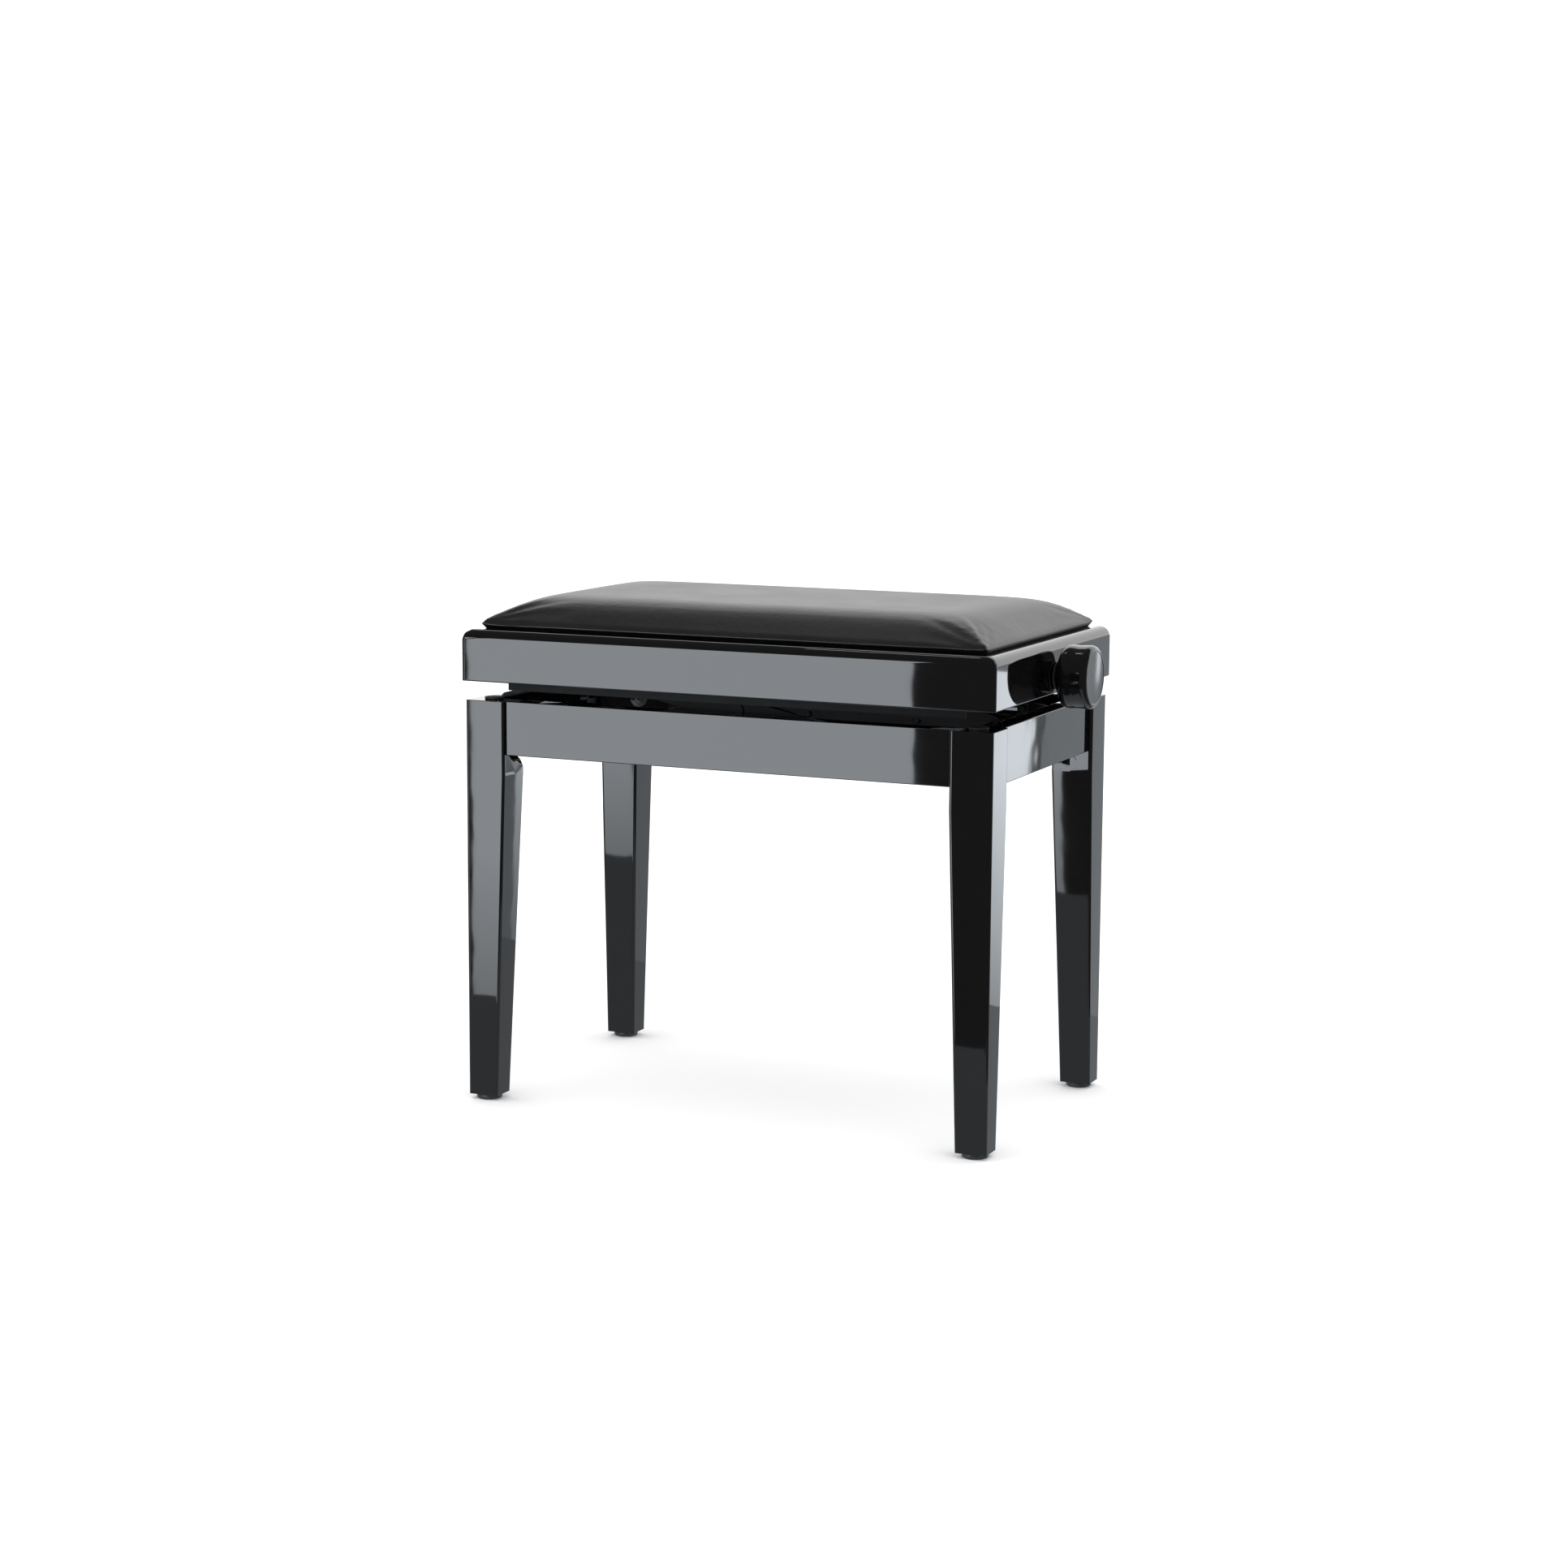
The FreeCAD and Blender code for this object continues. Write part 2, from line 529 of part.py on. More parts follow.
def seat_frame_rails():
    """Four mitred rails cut from one ring with round corners and a large round on the top edge."""
    half_x = SEAT_LENGTH / 2
    half_y = SEAT_WIDTH / 2
    block = span_box((-half_x, half_x), (-half_y, half_y), (SEAT_BOTTOM_Z, SEAT_TOP_Z))
    uprights = [edge for edge in block.Edges if edge.Length < SEAT_RAIL_HEIGHT + 1]
    block = block.makeFillet(SEAT_CORNER_RADIUS, uprights)
    upper = [edge for edge in block.Edges if edge.CenterOfMass.z > SEAT_TOP_Z - 0.1]
    block = block.makeFillet(SEAT_TOP_EDGE_RADIUS, upper)
    lower = [edge for edge in block.Edges if edge.CenterOfMass.z < SEAT_BOTTOM_Z + 0.1]
    block = block.makeFillet(1.5, lower)
    frame = block.cut(span_box((-SEAT_INNER_X, SEAT_INNER_X), (-SEAT_INNER_Y, SEAT_INNER_Y),
                               (SEAT_BOTTOM_Z, SEAT_TOP_Z)))
    meet_x = half_x - half_y
    rails = {}
    for name, side in LONG_SIDES.items():
        wedge = [(-half_x, side * half_y), (half_x, side * half_y), (meet_x, 0), (-meet_x, 0)]
        rails[name] = frame.common(polygon_prism(wedge, (SEAT_BOTTOM_Z, SEAT_TOP_Z)))
    for name, side in SHORT_SIDES.items():
        wedge = [(side * half_x, -half_y), (side * half_x, half_y), (side * meet_x, 0)]
        rail = frame.common(polygon_prism(wedge, (SEAT_BOTTOM_Z, SEAT_TOP_Z)))
        rails[name] = rail.cut(rod(BUSH_BODY_RADIUS, (side * (SEAT_INNER_X - 1), 0, SEAT_PIVOT_Z),
                                   (side * (half_x + 1), 0, SEAT_PIVOT_Z)))
    return rails


def seat_cleat(side_x, side_y):
    """Wooden cleat on a short rail, under the seat board."""
    x_span = (side_x * SEAT_INNER_X, side_x * (SEAT_INNER_X - CLEAT_SIDE))
    y_span = (side_y * CLEAT_INNER_Y, side_y * CLEAT_OUTER_Y)
    cleat = span_box(x_span, y_span, (BOARD_BOTTOM_Z - CLEAT_SIDE, BOARD_BOTTOM_Z))
    free_edges = [edge for edge in cleat.Edges
                  if edge.CenterOfMass.z < BOARD_BOTTOM_Z - CLEAT_SIDE + 1 and edge.Length > CLEAT_SIDE + 1
                  and abs(edge.CenterOfMass.x) < SEAT_INNER_X - 1]
    return cleat.makeChamfer(3.0, free_edges)


def cleat_screws(side_x, side_y):
    """Two screws of one cleat: one into the short rail and one up into the seat board."""
    x = side_x * (SEAT_INNER_X - CLEAT_SIDE)
    z = BOARD_BOTTOM_Z - CLEAT_SIDE
    into_rail = screw((x, side_y * (CLEAT_INNER_Y + 20), z + CLEAT_SIDE / 2 + 1), (side_x, 0, 0), 28)
    into_board = screw((x + side_x * 7, side_y * (CLEAT_OUTER_Y - 20), z), (0, 0, 1), 28)
    return [into_rail, into_board]


def cushion_form(half_x, half_y, base_z, crown):
    """Crowned pad that swells out over the seat frame just above its base and flattens towards its top."""
    stations = (
        (0.0, CUSHION_OVERHANG, 8.0),
        (0.05, CUSHION_OVERHANG, 8.0),
        (0.16, 0.6, 6.5),
        (0.22, 0.0, 6.0),
        (0.38, 12.0, 8.0),
        (0.62, 24.0, 12.0),
        (0.86, 38.0, 14.0),
        (0.97, 56.0, 18.0),
        (1.0, 77.0, 22.0),
    )
    wide_x = half_x + CUSHION_OVERHANG
    wide_y = half_y + CUSHION_OVERHANG
    outlines = []
    for rise, inset, corner_radius in stations:
        outlines.append(rounded_outline((inset - wide_x, wide_x - inset), (inset - wide_y, wide_y - inset),
                                        base_z + rise * crown, corner_radius))
    return layered_solid(outlines)


def cushion_foam():
    """Foam pad on the seat board."""
    return cushion_form(BOARD_HALF_X, BOARD_HALF_Y, SEAT_TOP_Z, CUSHION_CROWN - COVER_THICKNESS)


def cushion_cover(foam, board):
    """Cover over the foam and down the board's edges."""
    skirt_z = BOARD_BOTTOM_Z + 2
    upper = cushion_form(COVER_HALF_X, COVER_HALF_Y, SEAT_TOP_Z, CUSHION_CROWN)
    skirt = layered_solid([rounded_outline((-COVER_HALF_X, COVER_HALF_X), (-COVER_HALF_Y, COVER_HALF_Y), z, 8)
                           for z in (skirt_z, SEAT_TOP_Z)])
    return upper.fuse(skirt).removeSplitter().cut(foam).cut(board)


def seat_board():
    """Plywood board of the seat."""
    z_levels = (BOARD_BOTTOM_Z, SEAT_TOP_Z)
    x_span = (-BOARD_HALF_X, BOARD_HALF_X)
    y_span = (-BOARD_HALF_Y, BOARD_HALF_Y)
    return layered_solid([rounded_outline(x_span, y_span, z, 8) for z in z_levels])


def aprons():
    """Four rails of the base, between the legs."""
    z_span = (APRON_BOTTOM_Z, LEG_TOP_Z)
    end_x = BASE_HALF_X - LEG_TOP_X
    end_y = BASE_HALF_Y - LEG_TOP_Y
    pieces = {}
    for name, side in LONG_SIDES.items():
        y_span = (side * APRON_INNER_Y, side * (APRON_INNER_Y + APRON_THICKNESS))
        pieces[name] = span_box((-end_x, end_x), y_span, z_span)
    for name, side in SHORT_SIDES.items():
        x_span = (side * APRON_INNER_X, side * (APRON_INNER_X + APRON_THICKNESS))
        pieces[name] = span_box(x_span, (-end_y, end_y), z_span)
    for name, piece in pieces.items():
        long_edges = [edge for edge in piece.Edges if edge.Length > 200]
        pieces[name] = piece.makeFillet(1.0, long_edges)
    return pieces


def build_base():
    """Legs, aprons, leg joints and lower channels."""
    screws = []
    bolts, washers, nuts = [], [], []
    for corner, sides in CORNERS.items():
        bolt, washer, nut = leg_bolt(*sides)
        bolts.append(bolt)
        washers.append(washer)
        nuts.append(nut)
        screws.extend(bracket_screws(*sides))
    glides = [glide(*sides) for sides in CORNERS.values()]
    leg_fillings = Part.makeCompound(bolts + glides)
    for corner, sides in CORNERS.items():
        save("leg_" + corner, leg_blank(*sides).cut(leg_fillings))
        save("corner_bracket_" + corner, corner_bracket(*sides).cut(Part.makeCompound(screws)))
    channel_screws = []
    for name, side in LONG_SIDES.items():
        side_screws = base_channel_screws(side)
        channel_screws.extend(side_screws)
        save("base_channel_" + name, base_channel(side).cut(Part.makeCompound(side_screws)))
    fastenings = Part.makeCompound(screws + channel_screws)
    for name, piece in aprons().items():
        save("apron_" + name, piece.cut(fastenings))
    save("leg_bolts", *bolts)
    save("leg_washers", *washers)
    save("leg_nuts", *nuts)
    save("leg_glides", *glides)
    save("bracket_screws", *screws)
    save("base_channel_screws", *channel_screws)
    save("leg_bumpers", *[bumper(*sides) for sides in CORNERS.values()])


def build_lift():
    """Both arm pairs with their shafts, rivets and rollers, and the nut with its trunnions."""
    lower_fixed = (FIXED_PIVOT_X, BASE_PIVOT_Z)
    upper_fixed = (FIXED_PIVOT_X, SEAT_PIVOT_Z)
    lower_sliding = (SLIDING_PIVOT_X, BASE_PIVOT_Z)
    upper_sliding = (SLIDING_PIVOT_X, SEAT_PIVOT_Z)
    tight = SHAFT_RADIUS
    loose = SHAFT_RADIUS + RUNNING_CLEARANCE
    rivets = {name: centre_rivet(side) for name, side in LONG_SIDES.items()}
    for name, side in LONG_SIDES.items():
        arm_a = scissor_arm(side, ARM_A_INNER_Y, lower_fixed, upper_sliding, tight, loose)
        arm_b = scissor_arm(side, ARM_B_INNER_Y, upper_fixed, lower_sliding, loose, tight)
        save("arm_a_" + name, arm_a.cut(rivets[name]))
        save("arm_b_" + name, arm_b)
    save("arm_rivets", *rivets.values())
    end_y = CHANNEL_WEB_Y - 0.3
    save("arm_a_shaft", cross_rod(SHAFT_RADIUS, *lower_fixed, -end_y, end_y))
    end_y = ROLLER_INNER_Y + ROLLER_WIDTH
    save("arm_b_shaft", cross_rod(SHAFT_RADIUS, *lower_sliding, -end_y, end_y))
    save("base_rollers", *[roller(side, BASE_PIVOT_Z) for side in LONG_SIDES.values()])
    save("seat_rollers", *[roller(side, SEAT_PIVOT_Z) for side in LONG_SIDES.values()])
    save("spindle_nut", spindle_nut())
    save("nut_trunnions", *[trunnion(side) for side in LONG_SIDES.values()])
    save("trunnion_clips", *[trunnion_clip(side) for side in LONG_SIDES.values()])


def build_spindle():
    """Spindle with its collars and knobs."""
    save("spindle", spindle())
    save("spindle_collars", *[spindle_collar(side) for side in SHORT_SIDES.values()])
    save("collar_screws", *[grub_screw(collar_middle(side), COLLAR_RADIUS - 1) for side in SHORT_SIDES.values()])
    save("knob_screws", *[grub_screw(knob_screw_place(side), KNOB_RADIUS - 6) for side in SHORT_SIDES.values()])
    for name, side in SHORT_SIDES.items():
        save("knob_" + name, knob(side))


def build_seat():
    """Seat frame, upholstered seat, upper channels and spindle bushes."""
    screws = []
    for sides in CORNERS.values():
        screws.extend(cleat_screws(*sides))
    channel_screws = []
    for name, side in LONG_SIDES.items():
        side_screws = seat_channel_screws(side)
        channel_screws.extend(side_screws)
        save("seat_channel_" + name, seat_channel(side).cut(Part.makeCompound(side_screws)))
    save("seat_channel_screws", *channel_screws)
    fastenings = Part.makeCompound(screws)
    for name, rail in seat_frame_rails().items():
        save("seat_rail_" + name, rail.cut(fastenings))
    for corner, sides in CORNERS.items():
        save("seat_cleat_" + corner, seat_cleat(*sides).cut(fastenings))
    save("cleat_screws", *screws)
    board = seat_board()
    foam = cushion_foam()
    save("seat_board", board.cut(Part.makeCompound(channel_screws + screws)))
    save("cushion_foam", foam)
    save("cushion_cover", cushion_cover(foam, board))
    save("seat_pivot_pins", *[seat_pivot_pin(side) for side in LONG_SIDES.values()])
    for name, side in SHORT_SIDES.items():
        save("spindle_bush_" + name, spindle_bush(side))


os.makedirs("parts", exist_ok=True)
build_base()
build_lift()
build_spindle()
build_seat()
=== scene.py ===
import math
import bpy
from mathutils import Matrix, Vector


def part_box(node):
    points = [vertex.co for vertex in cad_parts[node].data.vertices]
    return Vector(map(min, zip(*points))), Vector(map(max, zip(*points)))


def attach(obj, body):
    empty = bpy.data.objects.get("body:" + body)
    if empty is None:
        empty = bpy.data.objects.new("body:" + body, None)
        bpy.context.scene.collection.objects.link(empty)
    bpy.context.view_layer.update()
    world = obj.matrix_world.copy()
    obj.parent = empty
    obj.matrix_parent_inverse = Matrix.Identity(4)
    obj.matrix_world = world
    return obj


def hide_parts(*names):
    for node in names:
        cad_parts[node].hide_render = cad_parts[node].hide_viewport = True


bl_info = {
    "name": "Adjustable piano bench",
    "version": (1, 0, 0),
    "blender": (4, 5, 0),
    "location": "View3D > Sidebar > Piano bench",
    "description": "Builds the lacquered bench, its padded seat and its lift around the packed frame",
    "category": "Object",
}

import bmesh
import bpy
from bpy.props import FloatProperty, FloatVectorProperty, PointerProperty
from mathutils import Matrix, Vector
from mathutils.geometry import interpolate_bezier

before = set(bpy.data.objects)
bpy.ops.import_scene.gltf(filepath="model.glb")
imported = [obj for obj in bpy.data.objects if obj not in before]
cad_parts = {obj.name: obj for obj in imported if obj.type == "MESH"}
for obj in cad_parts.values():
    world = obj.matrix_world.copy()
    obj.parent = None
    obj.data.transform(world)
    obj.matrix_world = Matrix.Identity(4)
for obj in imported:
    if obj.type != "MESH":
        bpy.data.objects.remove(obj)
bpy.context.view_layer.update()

MM = 0.001
CORNERS = {
    "front_left": (-1, -1),
    "front_right": (1, -1),
    "rear_left": (-1, 1),
    "rear_right": (1, 1),
}
SIDES = {"left": -1, "right": 1}
SHARP_ANGLE = math.radians(40)
NEAR = 0.01 * MM
GLIDE_RADIUS = 12.5 * MM
BUMPER_RADIUS = 9.5 * MM

# Strength of the white room, and of what polished surfaces mirror of it.
ROOM_STRENGTH = 1.5
MIRRORED_STRENGTH = 0.12

# Panel colours, and how a panel fades:
# height where it is weakest, height where it is full, weakest share.
COOL, NEUTRAL = "#f2f9ff", "#ffffff"
EVEN = (-1.0, 1.0, 1.0)
FRONT_FADE = (-0.28, 0.02, 0.45)
REAR_FADE = (-0.65, -0.12, 0.35)

CAMERA_PLACE = Vector((1.2108, -2.7249, 0.7630))
CAMERA_TARGET = Vector((-0.00808, 0.00609, 0.30796))
CAMERA_ROLL = math.radians(0.353)
CAMERA_LENS = 70.55


def linear(hex_colour):
    """Linear RGB of an sRGB hex colour."""
    levels = [int(hex_colour[place:place + 2], 16) / 255 for place in (1, 3, 5)]
    return tuple(level / 12.92 if level <= 0.04045 else ((level + 0.055) / 1.055) ** 2.4
                 for level in levels)


def millimetres(name, description, default, low=0.0, high=100.0):
    """Length property that is given in millimetres and kept in metres."""
    return FloatProperty(name=name, description=description, default=default * MM,
                         min=low * MM, max=high * MM, precision=4, unit="LENGTH", subtype="DISTANCE")


def colour(name, description, hex_colour):
    """Colour property."""
    return FloatVectorProperty(name=name, description=description, subtype="COLOR", size=3,
                               min=0.0, max=1.0, default=linear(hex_colour))


class BenchSizes(bpy.types.PropertyGroup):
    """Sizes that shape the visible pieces."""

    leg_edge: millimetres("Leg edge", "Radius along a leg's upright edges", 3.0, 0.5, 8)
    leg_shoulder: millimetres("Leg shoulder", "Radius where a leg passes under the aprons", 15.0, 1, 18)
    leg_foot_x: millimetres("Foot along", "Size of a leg's lower end along the bench", 31.5, 20, 42)
    leg_foot_y: millimetres("Foot across", "Size of a leg's lower end across the bench", 27.5, 20, 41)
    leg_taper_drop: millimetres("Taper start", "How far below the aprons the taper starts", 21.0, 5, 100)
    apron_edge: millimetres("Apron edge", "Radius along an apron's long edges", 1.0, 0.2, 4)
    seat_top_edge: millimetres("Seat top edge", "Radius along the seat frame's upper edge", 10.0, 2, 14)
    seat_corner: millimetres("Seat corner", "Radius at the seat frame's upright corners", 4.5, 1, 12)
    seat_bottom_edge: millimetres("Seat lower edge", "Radius along the seat frame's lower edge", 1.5, 0.2, 4)
    cushion_border: millimetres("Cushion border", "Height of the cushion's upright border", 5.5, 1, 20)
    cushion_overhang: millimetres("Cushion overhang", "How far the cushion swells over the frame", 7.5, 0, 9)
    cushion_shoulder: millimetres("Cushion shoulder", "Width over which the cushion rises", 70.0, 20, 120)
    cushion_swell: millimetres("Cushion swell", "Most that the stuffing may push the cover out", 1.2, 0, 8)
    knob_waist: millimetres("Knob waist", "Depth of the knob's waist", 0.4, 0, 3)
    thread_pitch: millimetres("Thread pitch", "Pitch of the spindle's thread", 2.0, 1, 5)
    thread_depth: millimetres("Thread depth", "Depth of the spindle's thread", 1.1, 0.2, 2)


class BenchColours(bpy.types.PropertyGroup):
    """Colours of the finishes."""

    lacquer: colour("Lacquer", "Black polyester lacquer on the wood", "#070708")
    leather: colour("Artificial leather", "Black cover of the cushion", "#141414")
    knob: colour("Knob plastic", "Black moulded plastic of the knobs", "#070708")
    coated_steel: colour("Coated steel", "Black powder coat on the lift's arms and channels", "#0f0f10")
    zinc: colour("Zinc", "Zinc plating on the spindle, its collars and the leg bolts", "#b9bcc0")
    nylon: colour("Nylon", "Rollers and bushes", "#2a2a2b")
    plywood: colour("Birch plywood", "Seat board, stained black", "#2a2724")
    beech: colour("Beech", "Cleats, stained black", "#2b2622")
    rubber: colour("Rubber", "Bumpers on the legs' tops", "#1c1c1c")
    glide: colour("Glide plastic", "Glides under the legs", "#202021")


# ---------------------------------------------------------------- materials


def add_node(tree, kind, settings=None, inputs=None):
    """Add one node with its settings; inputs holds a value or another node's output for each socket."""
    item = tree.nodes.new(kind)
    for name, value in (settings or {}).items():
        setattr(item, name, value)
    for name, value in (inputs or {}).items():
        if isinstance(value, bpy.types.NodeSocket):
            tree.links.new(value, item.inputs[name])
        else:
            item.inputs[name].default_value = value
    return item


def shade(tree, place, dark, light, low=0.0, high=1.0):
    """Colour output that runs from dark to light as place runs from low to high."""
    ramp = add_node(tree, "ShaderNodeValToRGB", inputs={"Fac": place})
    ramp.color_ramp.elements[0].position = low
    ramp.color_ramp.elements[1].position = high
    ramp.color_ramp.elements[0].color = (*dark, 1.0)
    ramp.color_ramp.elements[1].color = (*light, 1.0)
    return ramp.outputs["Color"]


def noise(tree, where, size, detail=2.0, roughness=0.5):
    """Noise output whose patches are size metres across."""
    return add_node(tree, "ShaderNodeTexNoise",
                    inputs={"Vector": where, "Scale": 1.0 / size, "Detail": detail, "Roughness": roughness}
                    ).outputs["Fac"]


def spread(tree, value, low, high):
    """Number output that maps 0..1 to low..high."""
    return add_node(tree, "ShaderNodeMapRange", inputs={"Value": value, "To Min": low, "To Max": high}
                    ).outputs["Result"]


def bump(tree, height, depth, normal=None):
    """Normal output of a bump whose full height is depth metres."""
    inputs = {"Height": height, "Distance": depth, "Strength": 1.0}
    if normal is not None:
        inputs["Normal"] = normal
    return add_node(tree, "ShaderNodeBump", inputs=inputs).outputs["Normal"]


def new_finish(name, **uniform):
    """New material; uniform sets its shader's sockets. Returns it, its tree, shader and coordinates."""
    finish = bpy.data.materials.new(name)
    finish.use_nodes = True
    tree = finish.node_tree
    shader = tree.nodes["Principled BSDF"]
    for socket, value in uniform.items():
        shader.inputs[socket.replace("_", " ")].default_value = value
    where = add_node(tree, "ShaderNodeTexCoord").outputs["Object"]
    return finish, tree, shader, where


def stretched(tree, where, scale):
    """Coordinates stretched by a factor on each axis."""
    return add_node(tree, "ShaderNodeMapping", inputs={"Vector": where, "Scale": scale}).outputs["Vector"]


def scaled_colour(rgb, factor):
    """The same colour, lighter or darker."""
    return tuple(min(1.0, level * factor) for level in rgb)


def drive(tree, shader, base_colour, roughness, normal):
    """Link the three outputs that every finish varies."""
    for socket, output in (("Base Color", base_colour), ("Roughness", roughness), ("Normal", normal)):
        tree.links.new(output, shader.inputs[socket])


def polished_polyester_lacquer(colours):
    """Sprayed polyester, sanded and buffed: a deep mirror with faint haze and long soft waves."""
    finish, tree, shader, where = new_finish("polished_black_polyester_lacquer", IOR=1.52)
    haze = noise(tree, where, 35 * MM, 4.0)
    # The wood shows through as waves about 45 mm long and less than 0.1 mm deep.
    waves = noise(tree, where, 45 * MM, 1.0)
    drive(tree, shader,
          shade(tree, haze, scaled_colour(colours.lacquer, 0.8), scaled_colour(colours.lacquer, 1.25)),
          spread(tree, haze, 0.018, 0.045),
          bump(tree, waves, 0.09 * MM))
    return finish


def embossed_artificial_leather(colours):
    """PVC on a knitted backing, embossed with a fine pebble grain: satin, with broad soft highlights."""
    finish, tree, shader, where = new_finish("embossed_black_artificial_leather", IOR=1.5)
    # The pebbles of the real grain are about 0.8 mm across, too fine to show, and are drawn at 1.6 mm.
    pebbles = add_node(tree, "ShaderNodeTexVoronoi", {"feature": "SMOOTH_F1"},
                       {"Vector": where, "Scale": 1.0 / (1.6 * MM), "Smoothness": 0.6}).outputs["Distance"]
    patches = noise(tree, where, 60 * MM, 3.0)
    creases = noise(tree, where, 9 * MM, 3.0)
    drive(tree, shader,
          shade(tree, patches, scaled_colour(colours.leather, 0.75), scaled_colour(colours.leather, 1.3)),
          spread(tree, patches, 0.36, 0.46),
          bump(tree, pebbles, 0.10 * MM, bump(tree, creases, 0.25 * MM)))
    return finish


def polished_moulded_abs(colours):
    """ABS from a polished mould: glossy, with slight waves from shrinkage."""
    finish, tree, shader, where = new_finish("polished_black_moulded_abs", IOR=1.53)
    haze = noise(tree, where, 12 * MM, 3.0)
    drive(tree, shader,
          shade(tree, haze, scaled_colour(colours.knob, 0.8), scaled_colour(colours.knob, 1.2)),
          spread(tree, haze, 0.06, 0.12),
          bump(tree, haze, 0.02 * MM))
    return finish


def powder_coated_steel(colours):
    """Polyester powder baked on steel: dull black with a fine orange peel."""
    finish, tree, shader, where = new_finish("black_powder_coated_steel", IOR=1.5, Specular_IOR_Level=0.08)
    peel = noise(tree, where, 1.2 * MM, 2.0)
    wear = noise(tree, where, 30 * MM, 4.0)
    drive(tree, shader,
          shade(tree, wear, scaled_colour(colours.coated_steel, 0.7),
                scaled_colour(colours.coated_steel, 1.4)),
          spread(tree, wear, 0.38, 0.55),
          bump(tree, peel, 0.05 * MM))
    return finish


def zinc_plated_steel(colours):
    """Drawn or turned steel with bright zinc plating: grey metal with fine lines and cloudy patches."""
    finish, tree, shader, where = new_finish("zinc_plated_steel", Metallic=1.0)
    clouds = noise(tree, where, 6 * MM, 4.0)
    lines = noise(tree, stretched(tree, where, (1.0, 0.05, 1.0)), 0.6 * MM, 1.0)
    drive(tree, shader,
          shade(tree, clouds, scaled_colour(colours.zinc, 0.75), colours.zinc),
          spread(tree, clouds, 0.22, 0.38),
          bump(tree, lines, 0.01 * MM))
    return finish


def moulded_nylon(colours):
    """Filled polyamide from the mould: dull, with a faint sparkle from its fine texture."""
    finish, tree, shader, where = new_finish("moulded_nylon", IOR=1.53)
    grain = noise(tree, where, 0.9 * MM, 2.0)
    drive(tree, shader,
          shade(tree, grain, scaled_colour(colours.nylon, 0.85), scaled_colour(colours.nylon, 1.15)),
          spread(tree, grain, 0.35, 0.5),
          bump(tree, grain, 0.02 * MM))
    return finish


def birch_plywood(colours):
    """Rotary-cut birch veneers, sanded and stained black: plies about 1.5 mm thick show at the edge."""
    finish, tree, shader, where = new_finish("stained_birch_plywood", IOR=1.5)
    plies = add_node(tree, "ShaderNodeTexWave", {"wave_type": "BANDS", "bands_direction": "Z"},
                     {"Vector": where, "Scale": 1.0 / (20 * 3.0 * MM), "Distortion": 0.4}).outputs["Fac"]
    figure = noise(tree, stretched(tree, where, (0.12, 1.0, 1.0)), 14 * MM, 6.0, 0.6)
    both = add_node(tree, "ShaderNodeMix", {"data_type": "FLOAT"},
                    {"Factor": 0.65, "A": plies, "B": figure}).outputs["Result"]
    drive(tree, shader,
          shade(tree, both, scaled_colour(colours.plywood, 0.62), colours.plywood, 0.25, 0.7),
          spread(tree, figure, 0.55, 0.7),
          bump(tree, figure, 0.06 * MM))
    return finish


def planed_beech(colours):
    """Planed beech stained black, with short darker rays along the grain."""
    finish, tree, shader, where = new_finish("stained_beech", IOR=1.5)
    rays = noise(tree, stretched(tree, where, (1.0, 0.15, 1.0)), 1.6 * MM, 2.0)
    rings = noise(tree, stretched(tree, where, (1.0, 0.06, 1.0)), 9 * MM, 3.0)
    both = add_node(tree, "ShaderNodeMix", {"data_type": "FLOAT"},
                    {"Factor": 0.5, "A": rays, "B": rings}).outputs["Result"]
    drive(tree, shader,
          shade(tree, both, scaled_colour(colours.beech, 0.6), colours.beech, 0.3, 0.65),
          spread(tree, rays, 0.55, 0.7),
          bump(tree, rays, 0.05 * MM))
    return finish


def matt_rubber(colours):
    """Moulded rubber: matt, with a dusty bloom."""
    finish, tree, shader, where = new_finish("moulded_black_rubber", IOR=1.5)
    bloom = noise(tree, where, 3 * MM, 4.0)
    drive(tree, shader,
          shade(tree, bloom, scaled_colour(colours.rubber, 0.7), scaled_colour(colours.rubber, 1.5)),
          spread(tree, bloom, 0.6, 0.8),
          bump(tree, bloom, 0.03 * MM))
    return finish


def moulded_polyethylene(colours):
    """Polyethylene glide: waxy, with scuffs from the floor."""
    finish, tree, shader, where = new_finish("moulded_black_polyethylene", IOR=1.51)
    scuffs = noise(tree, stretched(tree, where, (1.0, 0.4, 1.0)), 2.5 * MM, 4.0, 0.7)
    drive(tree, shader,
          shade(tree, scuffs, scaled_colour(colours.glide, 0.8), scaled_colour(colours.glide, 1.5)),
          spread(tree, scuffs, 0.3, 0.5),
          bump(tree, scuffs, 0.02 * MM))
    return finish


FINISHES = {
    "black_lacquer": polished_polyester_lacquer,
    "black_leather": embossed_artificial_leather,
    "birch_plywood": birch_plywood,
    "raw_beech": planed_beech,
    "black_steel": powder_coated_steel,
    "zinc_steel": zinc_plated_steel,
    "nylon": moulded_nylon,
    "knob_plastic": polished_moulded_abs,
    "glide_plastic": moulded_polyethylene,
    "bumper_rubber": matt_rubber,
}
made_finishes = {}


def finish_for(slot):
    """The finish of one material slot, made when it is first asked for."""
    if slot not in made_finishes:
        made_finishes[slot] = FINISHES[slot](bpy.context.scene.piano_bench_colours)
    return made_finishes[slot]


# ---------------------------------------------------------------- shapes


def block(low, high):
    """Box between two corners."""
    shape = bmesh.new()
    bmesh.ops.create_cube(shape, size=1.0)
    bmesh.ops.scale(shape, vec=Vector(high) - Vector(low), verts=shape.verts)
    bmesh.ops.translate(shape, vec=(Vector(high) + Vector(low)) / 2, verts=shape.verts)
    return shape


